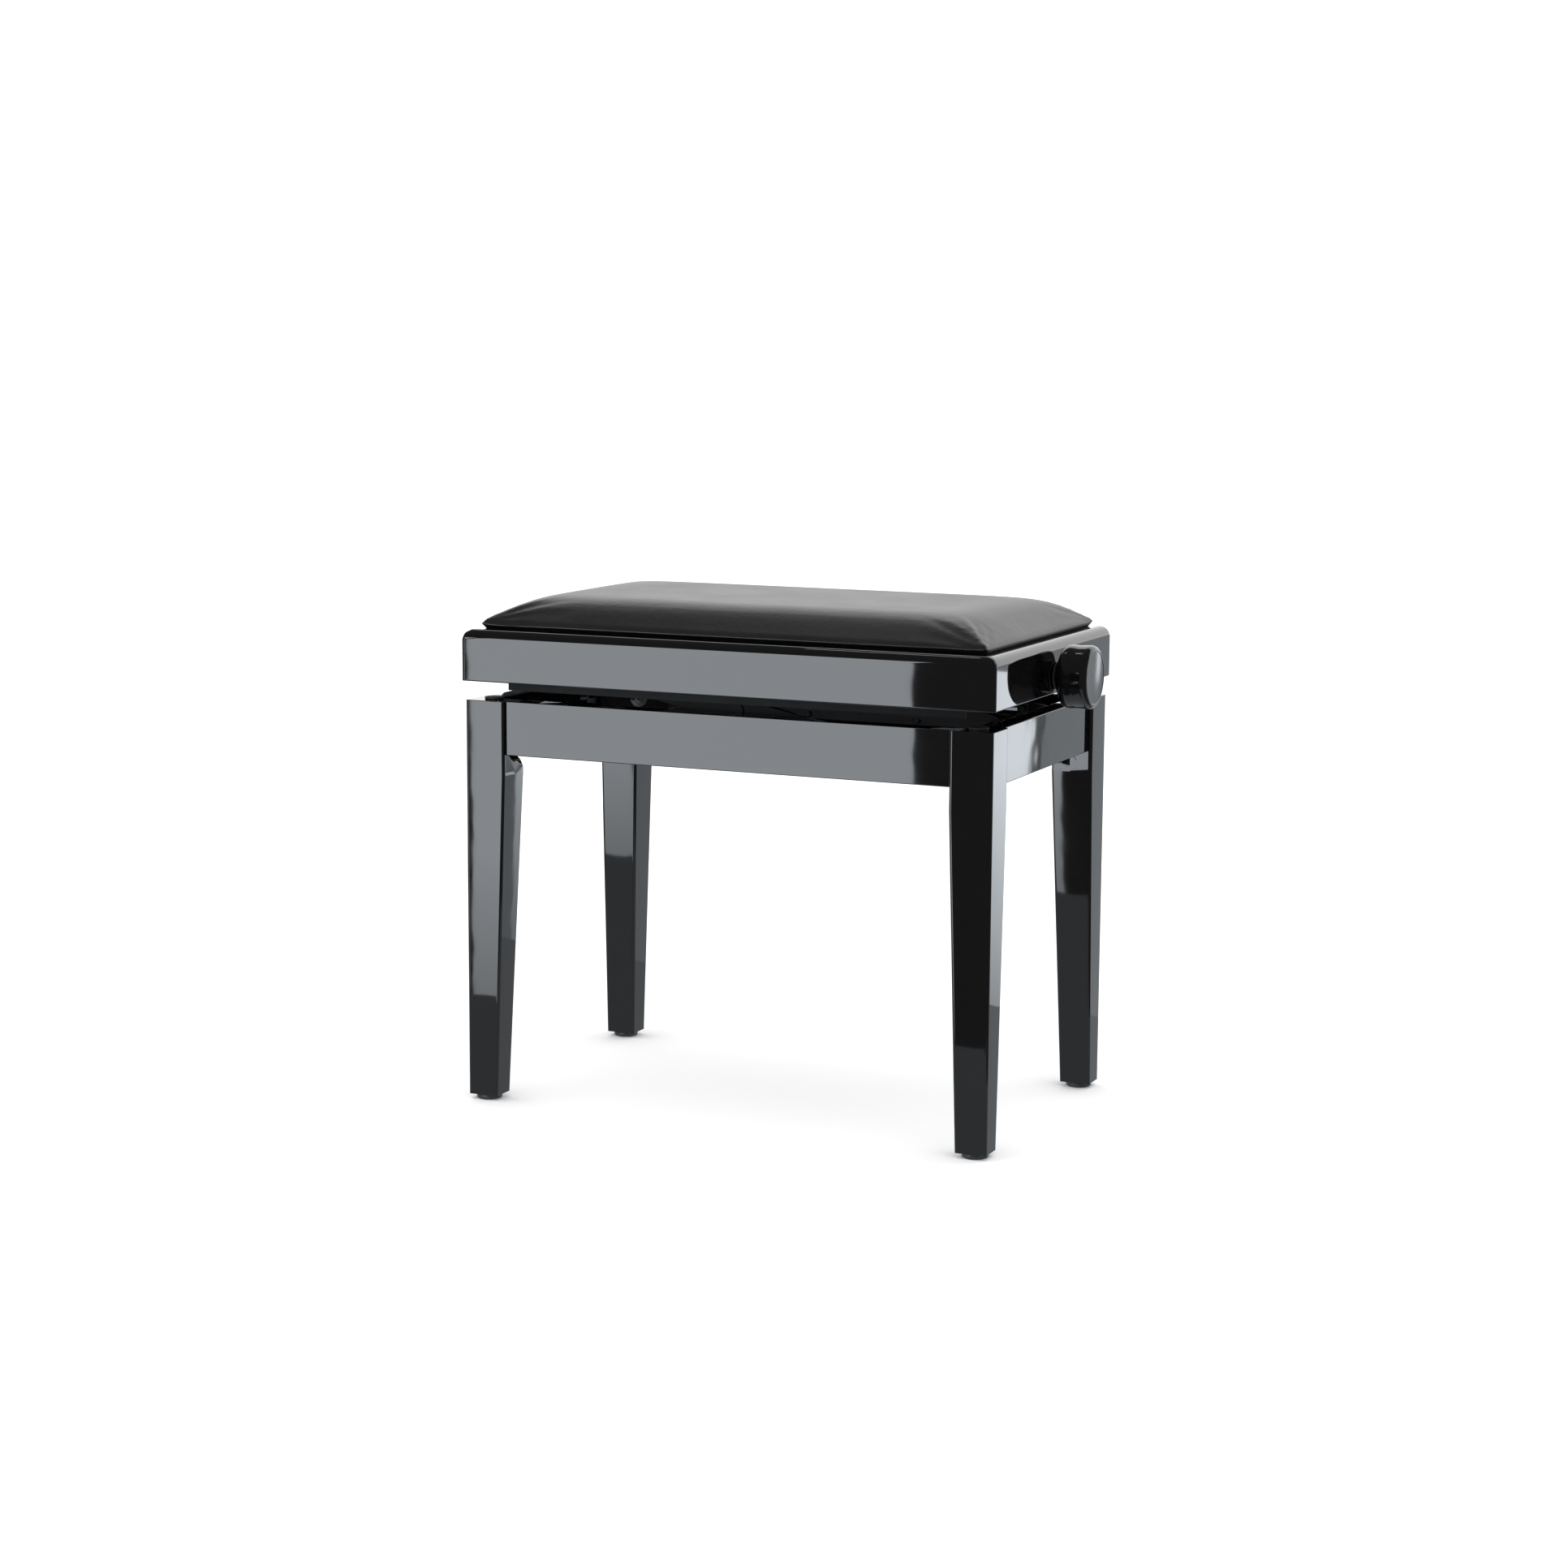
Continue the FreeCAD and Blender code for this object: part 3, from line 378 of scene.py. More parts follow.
def lined_grid(lines_x, lines_y, z):
    """Flat grid whose lines lie at the given places."""
    shape = bmesh.new()
    bmesh.ops.create_grid(shape, x_segments=len(lines_x) - 1, y_segments=len(lines_y) - 1, size=1.0)
    for vert in shape.verts:
        column = round((vert.co.x + 1) / 2 * (len(lines_x) - 1))
        row = round((vert.co.y + 1) / 2 * (len(lines_y) - 1))
        vert.co = (lines_x[column], lines_y[row], z)
    return shape


def raise_faces(shape, faces, height):
    """Pull faces straight up by height and leave walls and an open underside."""
    grown = bmesh.ops.extrude_face_region(shape, geom=faces)["geom"]
    raised = [item for item in grown if isinstance(item, bmesh.types.BMVert)]
    bmesh.ops.translate(shape, vec=(0, 0, height), verts=raised)
    left = [face for face in faces if face.is_valid]
    bmesh.ops.delete(shape, geom=left, context="FACES_ONLY")


def lower_rim(shape, z):
    """Pull the open lower rim down to a height."""
    rim = [edge for edge in shape.edges if edge.is_boundary]
    grown = bmesh.ops.extrude_edge_only(shape, edges=rim)["geom"]
    lowered = [item for item in grown if isinstance(item, bmesh.types.BMVert)]
    for vert in lowered:
        vert.co.z = z
    return lowered


def close_holes(shape):
    """Close every open rim with a flat face."""
    bmesh.ops.holes_fill(shape, edges=[edge for edge in shape.edges if edge.is_boundary])


def rounded(shape, radii, segments):
    """Round edges, each to its own radius; radii maps an edge to a radius."""
    shape.edges.index_update()
    widest = max(radii.values())
    chosen = {edge.index: radius / widest for edge, radius in radii.items()}
    weight = shape.edges.layers.float.new("bevel_weight_edge")
    for edge in shape.edges:
        edge[weight] = chosen.get(edge.index, 0.0)
    mesh = bpy.data.meshes.new("blank")
    shape.to_mesh(mesh)
    holder = bpy.data.objects.new("blank", mesh)
    bpy.context.scene.collection.objects.link(holder)
    bevel = holder.modifiers.new("Round", "BEVEL")
    bevel.limit_method = "WEIGHT"
    bevel.width = widest
    bevel.segments = segments
    bevel.use_clamp_overlap = False
    depsgraph = bpy.context.evaluated_depsgraph_get()
    result = bpy.data.meshes.new_from_object(holder.evaluated_get(depsgraph), depsgraph=depsgraph)
    shape.clear()
    shape.from_mesh(result)
    bpy.data.objects.remove(holder)
    for used in (mesh, result):
        bpy.data.meshes.remove(used)
    return shape


def spun(profile, centre, axis, steps=64):
    """Closed turned shape; profile holds (distance along the axis, radius) from centre."""
    shape = bmesh.new()
    axis = Vector(axis)
    outward = Vector((0, 0, 1)) if abs(axis.z) < 0.5 else Vector((1, 0, 0))
    points = [shape.verts.new(Vector(centre) + axis * along + outward * radius)
              for along, radius in profile]
    edges = [shape.edges.new(pair) for pair in zip(points, points[1:])]
    bmesh.ops.spin(shape, geom=points + edges, cent=centre, axis=axis, dvec=(0, 0, 0), angle=math.tau,
                   steps=steps, use_merge=True, use_duplicate=False)
    bmesh.ops.remove_doubles(shape, verts=shape.verts, dist=0.001 * MM)
    return shape


def softened(profile, radius, steps=4):
    """Turned profile with its inner corners rounded off."""
    points = [Vector((*place, 0)) for place in profile]
    result = [points[0]]
    for before, corner, after in zip(points, points[1:], points[2:]):
        back = (before - corner).normalized() * min(radius, (before - corner).length / 2)
        forth = (after - corner).normalized() * min(radius, (after - corner).length / 2)
        result.extend(interpolate_bezier(corner + back, corner + back * 0.45,
                                         corner + forth * 0.45, corner + forth, steps + 1))
    result.append(points[-1])
    return [(point.x, point.y) for point in result]


def joined(shapes):
    """One bmesh that holds several."""
    whole = bmesh.new()
    for shape in shapes:
        part = bpy.data.meshes.new("part")
        shape.to_mesh(part)
        whole.from_mesh(part)
        bpy.data.meshes.remove(part)
        shape.free()
    return whole


def place_piece(name, shape, slot, body, nodes):
    """Make a finished piece of a bmesh: it rides on a body and stands for CAD nodes."""
    bmesh.ops.remove_doubles(shape, verts=shape.verts, dist=0.001 * MM)
    bmesh.ops.recalc_face_normals(shape, faces=shape.faces)
    for face in shape.faces:
        face.smooth = True
    for edge in shape.edges:
        edge.smooth = not (edge.is_manifold and edge.calc_face_angle(0.0) > SHARP_ANGLE)
    mesh = bpy.data.meshes.new(name)
    shape.to_mesh(mesh)
    shape.free()
    piece = bpy.data.objects.new(name, mesh)
    bpy.context.scene.collection.objects.link(piece)
    mesh.materials.append(finish_for(slot))
    even = piece.modifiers.new("Even shading", "WEIGHTED_NORMAL")
    even.keep_sharp = True
    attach(piece, body)
    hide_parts(*nodes)
    return piece


def leg_form(corner, sizes):
    """Tapered leg whose top wraps the corner of the aprons."""
    side_x, side_y = CORNERS[corner]
    low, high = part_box("leg_" + corner)
    inner_x, outer_x = sorted((abs(low.x), abs(high.x)))
    inner_y, outer_y = sorted((abs(low.y), abs(high.y)))
    apron_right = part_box("apron_right")
    notch_x = apron_right[0].x
    notch_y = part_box("apron_rear")[0].y
    notch_z = apron_right[0].z
    shape = lined_grid((inner_x, notch_x, outer_x), (inner_y, notch_y, outer_y), notch_z)
    wrap = [face for face in shape.faces
            if face.calc_center_median().x > notch_x or face.calc_center_median().y > notch_y]
    raise_faces(shape, wrap, high.z - notch_z)
    lower_rim(shape, notch_z - sizes.leg_taper_drop)
    foot = lower_rim(shape, low.z)
    corners = {vert for vert in shape.verts
               if min(abs(vert.co.x - inner_x), abs(vert.co.x - outer_x)) < NEAR
               and min(abs(vert.co.y - inner_y), abs(vert.co.y - outer_y)) < NEAR}
    for vert in foot:
        vert.co.x = outer_x - (outer_x - vert.co.x) * sizes.leg_foot_x / (outer_x - inner_x)
        vert.co.y = outer_y - (outer_y - vert.co.y) * sizes.leg_foot_y / (outer_y - inner_y)
    close_holes(shape)
    radii = {}
    for edge in shape.edges:
        first, last = (vert.co for vert in edge.verts)
        middle = (first + last) / 2
        upright = abs(first.z - last.z) > NEAR
        on_rim = abs(first.z - last.z) < NEAR and edge.calc_face_angle(0.0) > math.radians(60)
        if upright and all(vert in corners for vert in edge.verts):
            radii[edge] = sizes.leg_edge
        elif on_rim and abs(middle.z - notch_z) < NEAR and middle.x < notch_x and middle.y < notch_y:
            if middle.x < inner_x + NEAR or middle.y < inner_y + NEAR:
                radii[edge] = sizes.leg_shoulder
        elif on_rim and (middle.z > high.z - NEAR or middle.z < low.z + NEAR):
            radii[edge] = sizes.leg_edge / 4
    rounded(shape, radii, 8)
    bmesh.ops.scale(shape, vec=(side_x, side_y, 1), verts=shape.verts)
    return shape


def apron_form(name, sizes):
    """Rail with eased long edges."""
    shape = block(*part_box(name))
    lengths = {edge: edge.calc_length() for edge in shape.edges}
    longest = max(lengths.values())
    radii = {edge: sizes.apron_edge for edge, length in lengths.items() if length > longest * 0.99}
    return rounded(shape, radii, 3)


def open_grid(lines_x, lines_y, z):
    """Flat grid without its middle face."""
    shape = lined_grid(lines_x, lines_y, z)
    middle = [face for face in shape.faces if face.calc_center_median().xy.length < NEAR]
    bmesh.ops.delete(shape, geom=middle, context="FACES_ONLY")
    return shape


def seat_frame_form(sizes):
    """Ring of the four rails: large round on the upper edge, small ones at the corners and below."""
    rail_low, rail_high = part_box("seat_rail_front")
    outer_x, outer_y = rail_high.x, -rail_low.y
    inner_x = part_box("seat_cleat_front_right")[1].x
    inner_y = outer_y - (outer_x - inner_x)
    outlines = (-outer_x, -inner_x, inner_x, outer_x), (-outer_y, -inner_y, inner_y, outer_y)
    shape, under = open_grid(*outlines, rail_low.z), open_grid(*outlines, rail_low.z)
    raise_faces(shape, list(shape.faces), rail_high.z - rail_low.z)
    shape = joined([shape, under])
    bmesh.ops.remove_doubles(shape, verts=shape.verts, dist=0.001 * MM)
    bmesh.ops.recalc_face_normals(shape, faces=shape.faces)
    radii = {}
    for edge in shape.edges:
        first, last = (vert.co for vert in edge.verts)
        middle = (first + last) / 2
        outer = abs(middle.x) > outer_x - NEAR or abs(middle.y) > outer_y - NEAR
        if edge.calc_face_angle(0.0) < math.radians(60):
            continue
        if abs(first.z - last.z) > NEAR:
            if outer:
                radii[edge] = sizes.seat_corner
        elif middle.z > rail_high.z - NEAR:
            radii[edge] = sizes.seat_top_edge if outer else sizes.seat_bottom_edge
        elif outer:
            radii[edge] = sizes.seat_bottom_edge
    return rounded(shape, radii, 12), outer_x, outer_y


def cut_rail(ring, cuts):
    """Rail that is left of the ring after its mitre cuts; cuts holds (point, direction to take away)."""
    rail = ring.copy()
    for point, away in cuts:
        everything = [*rail.verts, *rail.edges, *rail.faces]
        bmesh.ops.bisect_plane(rail, geom=everything, dist=0.0001 * MM, plane_co=point, plane_no=away,
                               clear_outer=True)
        close_holes(rail)
    return rail


# ---------------------------------------------------------------- operators


class BENCH_OT_legs(bpy.types.Operator):
    """Build the four legs"""

    bl_idname = "piano_bench.legs"
    bl_label = "Legs"

    def execute(self, context):
        sizes = context.scene.piano_bench_sizes
        for corner in CORNERS:
            name = "leg_" + corner
            place_piece("lacquered_" + name, leg_form(corner, sizes), "black_lacquer", "base", [name])
        return {"FINISHED"}


class BENCH_OT_aprons(bpy.types.Operator):
    """Build the four aprons between the legs"""

    bl_idname = "piano_bench.aprons"
    bl_label = "Aprons"

    def execute(self, context):
        sizes = context.scene.piano_bench_sizes
        for side in ("front", "rear", "left", "right"):
            name = "apron_" + side
            place_piece("lacquered_" + name, apron_form(name, sizes), "black_lacquer", "base", [name])
        return {"FINISHED"}


class BENCH_OT_seat_frame(bpy.types.Operator):
    """Build the four mitred rails of the seat frame"""

    bl_idname = "piano_bench.seat_frame"
    bl_label = "Seat frame"

    def execute(self, context):
        ring, outer_x, outer_y = seat_frame_form(context.scene.piano_bench_sizes)
        sides = {"front": (0, -1), "rear": (0, 1), "left": (-1, 0), "right": (1, 0)}
        for name, (side_x, side_y) in sides.items():
            cuts = []
            for other in (-1, 1):
                if side_y:
                    point, away = (other * outer_x, side_y * outer_y, 0), (other, -side_y, 0)
                else:
                    point, away = (side_x * outer_x, other * outer_y, 0), (-side_x, other, 0)
                cuts.append((point, away))
            place_piece("lacquered_seat_rail_" + name, cut_rail(ring, cuts), "black_lacquer", "seat",
                        ["seat_rail_" + name])
        ring.free()
        return {"FINISHED"}


class BENCH_OT_knobs(bpy.types.Operator):
    """Turn the two knobs"""

    bl_idname = "piano_bench.knobs"
    bl_label = "Knobs"

    def execute(self, context):
        sizes = context.scene.piano_bench_sizes
        for name, side in SIDES.items():
            low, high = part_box("knob_" + name)
            full = (high.z - low.z) / 2
            length = high.x - low.x
            neck, neck_radius = 4.5 * MM, 15 * MM
            middle = (neck + length) / 2
            bezier = [
                ((neck, full - 8 * MM), (neck, full - 2.8 * MM),
                 (neck + 3.4 * MM, full), (neck + 8 * MM, full)),
                ((neck + 8 * MM, full), (neck + 10 * MM, full),
                 (middle - 2 * MM, full - sizes.knob_waist), (middle, full - sizes.knob_waist)),
                ((middle, full - sizes.knob_waist), (middle + 2 * MM, full - sizes.knob_waist),
                 (length - 8 * MM, full), (length - 6 * MM, full)),
                ((length - 6 * MM, full), (length - 2.6 * MM, full),
                 (length - 0.6 * MM, full - 2 * MM), (length - 0.2 * MM, full - 4.6 * MM)),
            ]
            profile = [(0.0, 0.0), (0.0, neck_radius), (neck, neck_radius)]
            for first, first_pull, last_pull, last in bezier:
                places = [Vector((*place, 0)) for place in (first, first_pull, last_pull, last)]
                curve = interpolate_bezier(*places, 10)
                profile.extend((point.x, point.y) for point in curve[:-1])
            profile += [(length - 0.2 * MM, full - 4.6 * MM),
                        (length - 0.8 * MM, full - 5.4 * MM), (length - 0.8 * MM, 0.0)]
            centre = Vector((low.x if side > 0 else high.x, 0, (low.z + high.z) / 2))
            shape = spun(profile, centre, (side, 0, 0), 128)
            place_piece("turned_knob_" + name, shape, "knob_plastic", "spindle", ["knob_" + name])
        return {"FINISHED"}


def corner_discs(node, radius, height, easing, steps):
    """Turned discs at the four corners of the node's box, standing on its lower face."""
    low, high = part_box(node)
    profile = softened([(0, 0), (0, radius), (height, radius), (height, 0)], easing)
    discs = []
    for side_x, side_y in CORNERS.values():
        centre = (side_x * (high.x - radius), side_y * (high.y - radius), low.z)
        discs.append(spun(profile, centre, (0, 0, 1), steps))
    return joined(discs)


class BENCH_OT_feet(bpy.types.Operator):
    """Build the glides under the legs and the bumpers on their tops"""

    bl_idname = "piano_bench.feet"
    bl_label = "Glides and bumpers"

    def execute(self, context):
        glide_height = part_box("leg_front_left")[0].z
        glides = corner_discs("leg_glides", GLIDE_RADIUS, glide_height, 1.5 * MM, 48)
        place_piece("moulded_glides", glides, "glide_plastic", "base", ["leg_glides"])
        low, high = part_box("leg_bumpers")
        bumpers = corner_discs("leg_bumpers", BUMPER_RADIUS, high.z - low.z, 0.8 * MM, 32)
        place_piece("rubber_bumpers", bumpers, "bumper_rubber", "base", ["leg_bumpers"])
        return {"FINISHED"}


class BENCH_OT_spindle(bpy.types.Operator):
    """Cut the spindle's thread and turn its plain ends"""

    bl_idname = "piano_bench.spindle"
    bl_label = "Spindle"

    def execute(self, context):
        sizes = context.scene.piano_bench_sizes
        low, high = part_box("spindle")
        radius = (high.z - low.z) / 2
        height = (high.z + low.z) / 2
        collar_low, collar_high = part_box("spindle_collars")
        thread_end = collar_high.x - 9 * MM
        pitch = sizes.thread_pitch
        turns = int(2 * thread_end / pitch)
        steps_per_turn = 16
        start = -turns * pitch / 2 - pitch / 2
        thread = bmesh.new()
        places = ((0, radius), (pitch / 2, radius - sizes.thread_depth), (pitch, radius))
        points = [thread.verts.new((start + along, 0, height + reach)) for along, reach in places]
        edges = [thread.edges.new(pair) for pair in zip(points, points[1:])]
        bmesh.ops.spin(thread, geom=points + edges, cent=(0, 0, height), axis=(1, 0, 0),
                       dvec=(pitch / steps_per_turn, 0, 0), angle=math.tau * turns,
                       steps=steps_per_turn * turns, use_merge=False, use_duplicate=False)
        bmesh.ops.remove_doubles(thread, verts=thread.verts, dist=0.002 * MM)
        close_holes(thread)
        parts = [thread]
        for side in SIDES.values():
            length = high.x - thread_end
            profile = softened([(0, 0), (0, radius), (length, radius), (length, 0)], 0.6 * MM, 2)
            parts.append(spun(profile, (side * thread_end, 0, height), (side, 0, 0), 48))
        place_piece("threaded_spindle", joined(parts), "zinc_steel", "spindle", ["spindle"])
        return {"FINISHED"}


class BENCH_OT_rollers(bpy.types.Operator):
    """Turn the rollers that run in the channels"""

    bl_idname = "piano_bench.rollers"
    bl_label = "Rollers"

    def execute(self, context):
        width = 9 * MM
        for node, body in {"base_rollers": "arm_b", "seat_rollers": "nut"}.items():
            low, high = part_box(node)
            radius = (high.z - low.z) / 2
            rollers = []
            for side in (-1, 1):
                centre = ((low.x + high.x) / 2, side * (high.y - width), (low.z + high.z) / 2)
                profile = softened([(0, 0), (0, radius * 0.55), (0.8 * MM, radius * 0.62),
                                    (0.8 * MM, radius * 0.8), (0, radius * 0.86), (0, radius),
                                    (width, radius), (width, 0)], 0.8 * MM, 3)
                rollers.append(spun(profile, centre, (0, side, 0), 64))
            place_piece("turned_" + node, joined(rollers), "nylon", body, [node])
        return {"FINISHED"}


class BENCH_OT_cushion(bpy.types.Operator):
    """Stuff the cushion and draw its cover tight"""

    bl_idname = "piano_bench.cushion"
    bl_label = "Cushion"

    def execute(self, context):
        sizes = context.scene.piano_bench_sizes
        low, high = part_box("cushion_cover")
        frame_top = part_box("seat_rail_front")[1].z
        # Smoothing draws the border in a little, so the first form is wider.
        slack = 1.8 * MM
        wide_x, wide_y = high.x + slack, high.y + slack
        headroom = 2.6 * MM
        crown = high.z - frame_top - headroom
        border = sizes.cushion_border
        neck = 1.6 * MM
        shape = bmesh.new()
        bmesh.ops.create_cube(shape, size=1.0)
        bmesh.ops.subdivide_edges(shape, edges=shape.edges[:], cuts=63, use_grid_fill=True)
        for vert in shape.verts:
            u, v, w = vert.co * 2
            # Cells crowd towards the borders, where the form bends most.
            across_x = math.sin(u * math.pi / 2) * 0.6 + u * 0.4
            across_y = math.sin(v * math.pi / 2) * 0.6 + v * 0.4
            reach_x = max(1e-6, (1 - abs(across_x)) * wide_x)
            reach_y = max(1e-6, (1 - abs(across_y)) * wide_y)
            inward = (reach_x ** -4 + reach_y ** -4) ** (-1 / 4)
            rise = 1 - (1 - min(1.0, inward / sizes.cushion_shoulder) ** 1.25) ** 3
            top = frame_top + border + rise * (crown - border)
            z = low.z + (w + 1) / 2 * (top - low.z)
            # Under its widest line the cover is drawn in to the board's edge.
            clear = max(0.0, min(1.0, (z - frame_top - neck) / (border - neck)))
            draw_in = sizes.cushion_overhang * (1 - math.sin(clear * math.pi / 2))
            vert.co = (across_x * (wide_x - draw_in), across_y * (wide_y - draw_in), z)
        # Round the four upright corners.
        corner = 4 * MM
        for vert in shape.verts:
            over_x = abs(vert.co.x) - (wide_x - corner)
            over_y = abs(vert.co.y) - (wide_y - corner)
            if over_x > 0 and over_y > 0:
                pull = max(over_x, over_y) / math.hypot(over_x, over_y)
                vert.co.x = math.copysign(wide_x - corner + over_x * pull, vert.co.x)
                vert.co.y = math.copysign(wide_y - corner + over_y * pull, vert.co.y)
        mesh = bpy.data.meshes.new("cushion")
        shape.to_mesh(mesh)
        shape.free()
        cushion = bpy.data.objects.new("leather_cushion", mesh)
        context.scene.collection.objects.link(cushion)
        for polygon in mesh.polygons:
            polygon.use_smooth = True
        remesh = cushion.modifiers.new("Remesh", "REMESH")
        remesh.mode = "VOXEL"
        remesh.voxel_size = 4 * MM
        remesh.use_smooth_shade = True
        self.apply_all(cushion)
        self.swell(context, cushion, sizes, frame_top)
        self.settle(cushion, sizes, high, frame_top)
        cushion.data.materials.append(finish_for("black_leather"))
        fine = cushion.modifiers.new("Fine", "SUBSURF")
        fine.levels = 1
        fine.render_levels = 1
        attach(cushion, "seat")
        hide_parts("cushion_cover", "cushion_foam")
        return {"FINISHED"}

    def apply_all(self, piece):
        """Put the piece's modifiers into its mesh."""
        depsgraph = bpy.context.evaluated_depsgraph_get()
        result = bpy.data.meshes.new_from_object(piece.evaluated_get(depsgraph), depsgraph=depsgraph)
        piece.modifiers.clear()
        piece.data = result

    def swell(self, context, cushion, sizes, frame_top):
        """Blow the cover up a little over its board with a short cloth simulation."""
        start = [vert.co.copy() for vert in cushion.data.vertices]
        held = cushion.vertex_groups.new(name="held")
        border = [vert.index for vert in cushion.data.vertices if vert.co.z < frame_top + 1.5 * MM]
        held.add(border, 1.0, "REPLACE")
        cloth = cushion.modifiers.new("Cloth", "CLOTH")
        cloth.settings.quality = 5
        cloth.settings.mass = 0.3
        cloth.settings.tension_stiffness = 15
        cloth.settings.compression_stiffness = 15
        cloth.settings.bending_stiffness = 0.5
        cloth.settings.use_pressure = True
        cloth.settings.uniform_pressure_force = 4.0
        cloth.settings.vertex_group_mass = "held"
        cloth.settings.effector_weights.gravity = 0.0
        cloth.collision_settings.use_collision = False
        cloth.point_cache.frame_start = 1
        cloth.point_cache.frame_end = 20
        for number in range(1, 21):
            context.scene.frame_set(number)
        self.apply_all(cushion)
        context.scene.frame_set(1)
        for vert, before in zip(cushion.data.vertices, start):
            moved = vert.co - before
            if moved.length > sizes.cushion_swell:
                vert.co = before + moved.normalized() * sizes.cushion_swell
        cushion.vertex_groups.clear()

    def settle(self, cushion, sizes, high, frame_top):
        """Pleat the cover slightly at its corners and keep it clear of the frame."""
        pleat_reach = 85 * MM
        for vert in cushion.data.vertices:
            from_x = high.x - abs(vert.co.x)
            from_y = high.y - abs(vert.co.y)
            distance = math.hypot(from_x, from_y)
            if distance < pleat_reach and vert.co.z > frame_top + 4 * MM:
                turn = math.atan2(from_y, from_x)
                fade = (1 - distance / pleat_reach) * min(1.0, distance / (15 * MM))
                phase = math.copysign(1.3, vert.co.x) + math.copysign(0.7, vert.co.y)
                vert.co.z += 0.8 * MM * fade * math.sin(turn * 24 + phase)
            in_opening = vert.co.z < frame_top + 0.9 * MM
            gap = sizes.cushion_overhang + 0.4 * MM if in_opening else 0.1 * MM
            limit_x, limit_y = high.x - gap, high.y - gap
            vert.co.x = max(-limit_x, min(limit_x, vert.co.x))
            vert.co.y = max(-limit_y, min(limit_y, vert.co.y))
            vert.co.z = min(vert.co.z, high.z)


class BENCH_OT_carried_parts(bpy.types.Operator):
    """Give every CAD part that still shows its finish"""

    bl_idname = "piano_bench.carried_parts"
    bl_label = "Steel and wood fittings"

    def execute(self, context):
        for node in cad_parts.values():
            if node.hide_render:
                continue
            for place in node.material_slots:
                place.material = finish_for(place.material.name.split(".")[0])
        return {"FINISHED"}


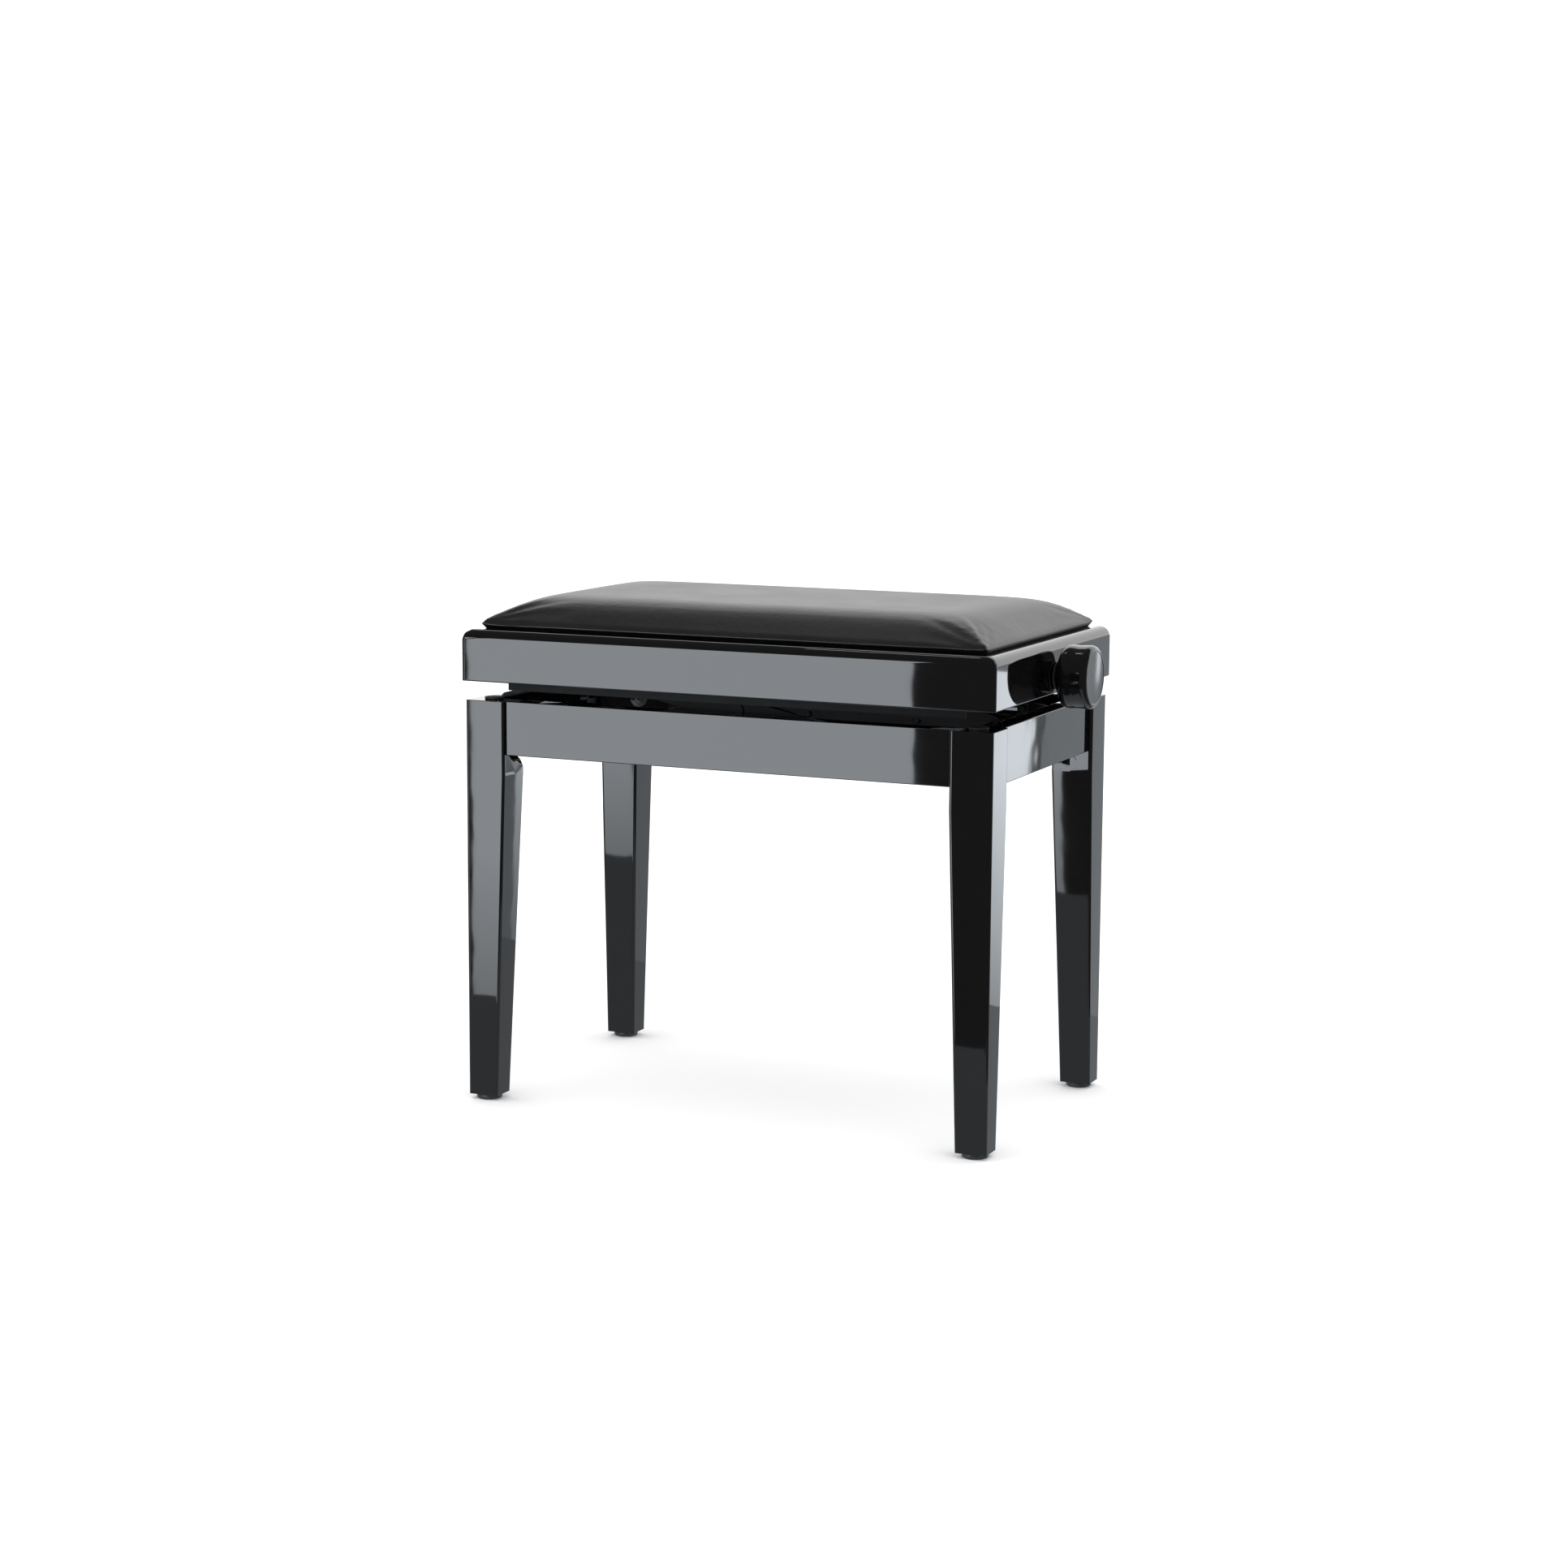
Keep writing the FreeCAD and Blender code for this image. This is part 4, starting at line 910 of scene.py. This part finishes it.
class BENCH_OT_stage(bpy.types.Operator):
    """Set up the floor, the studio light and the camera"""

    bl_idname = "piano_bench.stage"
    bl_label = "Floor, light and camera"

    def execute(self, context):
        scene = context.scene
        scene.view_settings.view_transform = "Standard"
        self.build_world(scene)
        self.build_floor(scene)
        self.build_panels(scene)
        self.build_camera(scene)
        return {"FINISHED"}

    def build_world(self, scene):
        """White studio that stays dim in polished surfaces."""
        world = bpy.data.worlds.new("studio")
        scene.world = world
        world.use_nodes = True
        tree = world.node_tree
        tree.nodes.clear()
        path = add_node(tree, "ShaderNodeLightPath")
        white = add_node(tree, "ShaderNodeBackground",
                         inputs={"Color": (1, 1, 1, 1), "Strength": ROOM_STRENGTH})
        dim = add_node(tree, "ShaderNodeBackground",
                       inputs={"Color": (1, 1, 1, 1), "Strength": MIRRORED_STRENGTH})
        mix = add_node(tree, "ShaderNodeMixShader", inputs={0: path.outputs["Is Glossy Ray"],
                                                            1: white.outputs[0], 2: dim.outputs[0]})
        add_node(tree, "ShaderNodeOutputWorld", inputs={"Surface": mix.outputs[0]})

    def place_stage_sheet(self, scene, name, middle, along, up, width, height, material):
        """Flat sheet of the stage."""
        shape = bmesh.new()
        bmesh.ops.create_grid(shape, x_segments=1, y_segments=1, size=0.5)
        along, up = Vector(along), Vector(up)
        turn = Matrix((along * width, up * height, along.cross(up))).transposed().to_4x4()
        bmesh.ops.transform(shape, matrix=Matrix.Translation(middle) @ turn, verts=shape.verts)
        mesh = bpy.data.meshes.new(name)
        shape.to_mesh(mesh)
        shape.free()
        mesh.materials.append(material)
        sheet = bpy.data.objects.new(name, mesh)
        scene.collection.objects.link(sheet)
        return sheet

    def build_floor(self, scene):
        """Pale matt floor."""
        floor = bpy.data.materials.new("matt_white_floor")
        floor.use_nodes = True
        shader = floor.node_tree.nodes["Principled BSDF"]
        shader.inputs["Base Color"].default_value = (*linear("#fafafa"), 1)
        shader.inputs["Roughness"].default_value = 0.9
        shader.inputs["Specular IOR Level"].default_value = 0.0
        sheet = self.place_stage_sheet(scene, "floor", (0, 0, 0), (1, 0, 0), (0, 1, 0), 18, 18, floor)
        sheet.visible_glossy = False

    def glow(self, name, strength, hex_colour, fade):
        """Light of a panel, weaker towards its foot."""
        material = bpy.data.materials.new(name)
        material.use_nodes = True
        tree = material.node_tree
        tree.nodes.clear()
        weakest, full, share = fade
        place = add_node(tree, "ShaderNodeTexCoord").outputs["Object"]
        upright = add_node(tree, "ShaderNodeSeparateXYZ", inputs={"Vector": place}).outputs["Z"]
        level = add_node(tree, "ShaderNodeMapRange",
                         inputs={"Value": upright, "From Min": weakest, "From Max": full,
                                 "To Min": strength * share, "To Max": strength}).outputs["Result"]
        light = add_node(tree, "ShaderNodeEmission",
                         inputs={"Color": (*linear(hex_colour), 1), "Strength": level})
        add_node(tree, "ShaderNodeOutputMaterial", inputs={"Surface": light.outputs[0]})
        return material

    def build_panels(self, scene):
        """Soft panels that show only in polished surfaces."""
        x_axis, y_axis, z_axis = (1, 0, 0), (0, 1, 0), (0, 0, 1)
        panels = (
            # name, middle, along, up, width, height, strength, colour, fade
            ("sheen_floor", (-0.175, -0.0625, 0.0), x_axis, y_axis, 1.45, 1.025, 0.58, COOL, EVEN),
            ("panel_left_front", (-0.59225, -1.30, 0.12), x_axis, z_axis,
             0.6685, 1.56, 5.7, COOL, FRONT_FADE),
            ("panel_left_far", (-1.10, -1.30, 0.12), x_axis, z_axis, 0.30, 1.56, 5.7, COOL, FRONT_FADE),
            ("panel_right_rear", (1.395, 3.0, -0.34), x_axis, z_axis, 0.15, 0.82, 3.8, COOL, REAR_FADE),
            ("panel_edge", (1.309, 2.95, -0.34), x_axis, z_axis, 0.025, 0.82, 0.2, COOL, EVEN),
            ("panel_rear_low", (0.0, 3.2, -0.575), x_axis, z_axis, 10.0, 1.85, 0.78, COOL, EVEN),
            ("panel_rear_high", (0.0, 3.2, 2.3), x_axis, z_axis, 10.0, 3.9, 1.75, NEUTRAL, EVEN),
            ("panel_left_rear", (-1.6, 0.9, 0.6), y_axis, z_axis, 1.4, 1.2, 3.0, COOL, EVEN),
            ("strip_over_knob", (-0.55, 0.35, 2.2), x_axis, y_axis, 0.30, 0.05, 12.0, NEUTRAL, EVEN),
        )
        for name, middle, along, up, width, height, strength, hex_colour, fade in panels:
            glow = self.glow(name, strength, hex_colour, fade)
            sheet = self.place_stage_sheet(scene, name, middle, along, up, width, height, glow)
            sheet.visible_camera = False
            sheet.visible_diffuse = False
            sheet.visible_shadow = False

    def build_camera(self, scene):
        """Camera to the right of the front, a little above the seat."""
        data = bpy.data.cameras.new("camera")
        data.sensor_width = 36.0
        data.lens = CAMERA_LENS
        data.clip_start, data.clip_end = 0.05, 50.0
        camera = bpy.data.objects.new("camera", data)
        scene.collection.objects.link(camera)
        aim = (CAMERA_TARGET - CAMERA_PLACE).to_track_quat("-Z", "Y").to_matrix()
        turn = aim @ Matrix.Rotation(CAMERA_ROLL, 3, "Z")
        camera.matrix_world = Matrix.Translation(CAMERA_PLACE) @ turn.to_4x4()
        scene.camera = camera


OPERATORS = (
    BENCH_OT_legs,
    BENCH_OT_aprons,
    BENCH_OT_seat_frame,
    BENCH_OT_cushion,
    BENCH_OT_knobs,
    BENCH_OT_spindle,
    BENCH_OT_rollers,
    BENCH_OT_feet,
    BENCH_OT_carried_parts,
    BENCH_OT_stage,
)


class BENCH_PT_panel(bpy.types.Panel):
    """Sizes, colours and steps of the bench"""

    bl_idname = "BENCH_PT_panel"
    bl_label = "Piano bench"
    bl_space_type = "VIEW_3D"
    bl_region_type = "UI"
    bl_category = "Piano bench"

    def draw(self, context):
        for title, group in (("Sizes", context.scene.piano_bench_sizes),
                             ("Colours", context.scene.piano_bench_colours)):
            box = self.layout.box()
            box.label(text=title)
            for name in group.__annotations__:
                box.prop(group, name)
        for step in OPERATORS:
            self.layout.operator(step.bl_idname)


CLASSES = (BenchSizes, BenchColours, *OPERATORS, BENCH_PT_panel)


def register():
    for item in CLASSES:
        bpy.utils.register_class(item)
    bpy.types.Scene.piano_bench_sizes = PointerProperty(type=BenchSizes)
    bpy.types.Scene.piano_bench_colours = PointerProperty(type=BenchColours)


def unregister():
    del bpy.types.Scene.piano_bench_colours
    del bpy.types.Scene.piano_bench_sizes
    for item in reversed(CLASSES):
        bpy.utils.unregister_class(item)


def main():
    """Build every piece and the stage in order."""
    register()
    for step in OPERATORS:
        group, name = step.bl_idname.split(".")
        getattr(getattr(bpy.ops, group), name)()
    bpy.context.view_layer.update()


if __name__ == "__main__":
    main()
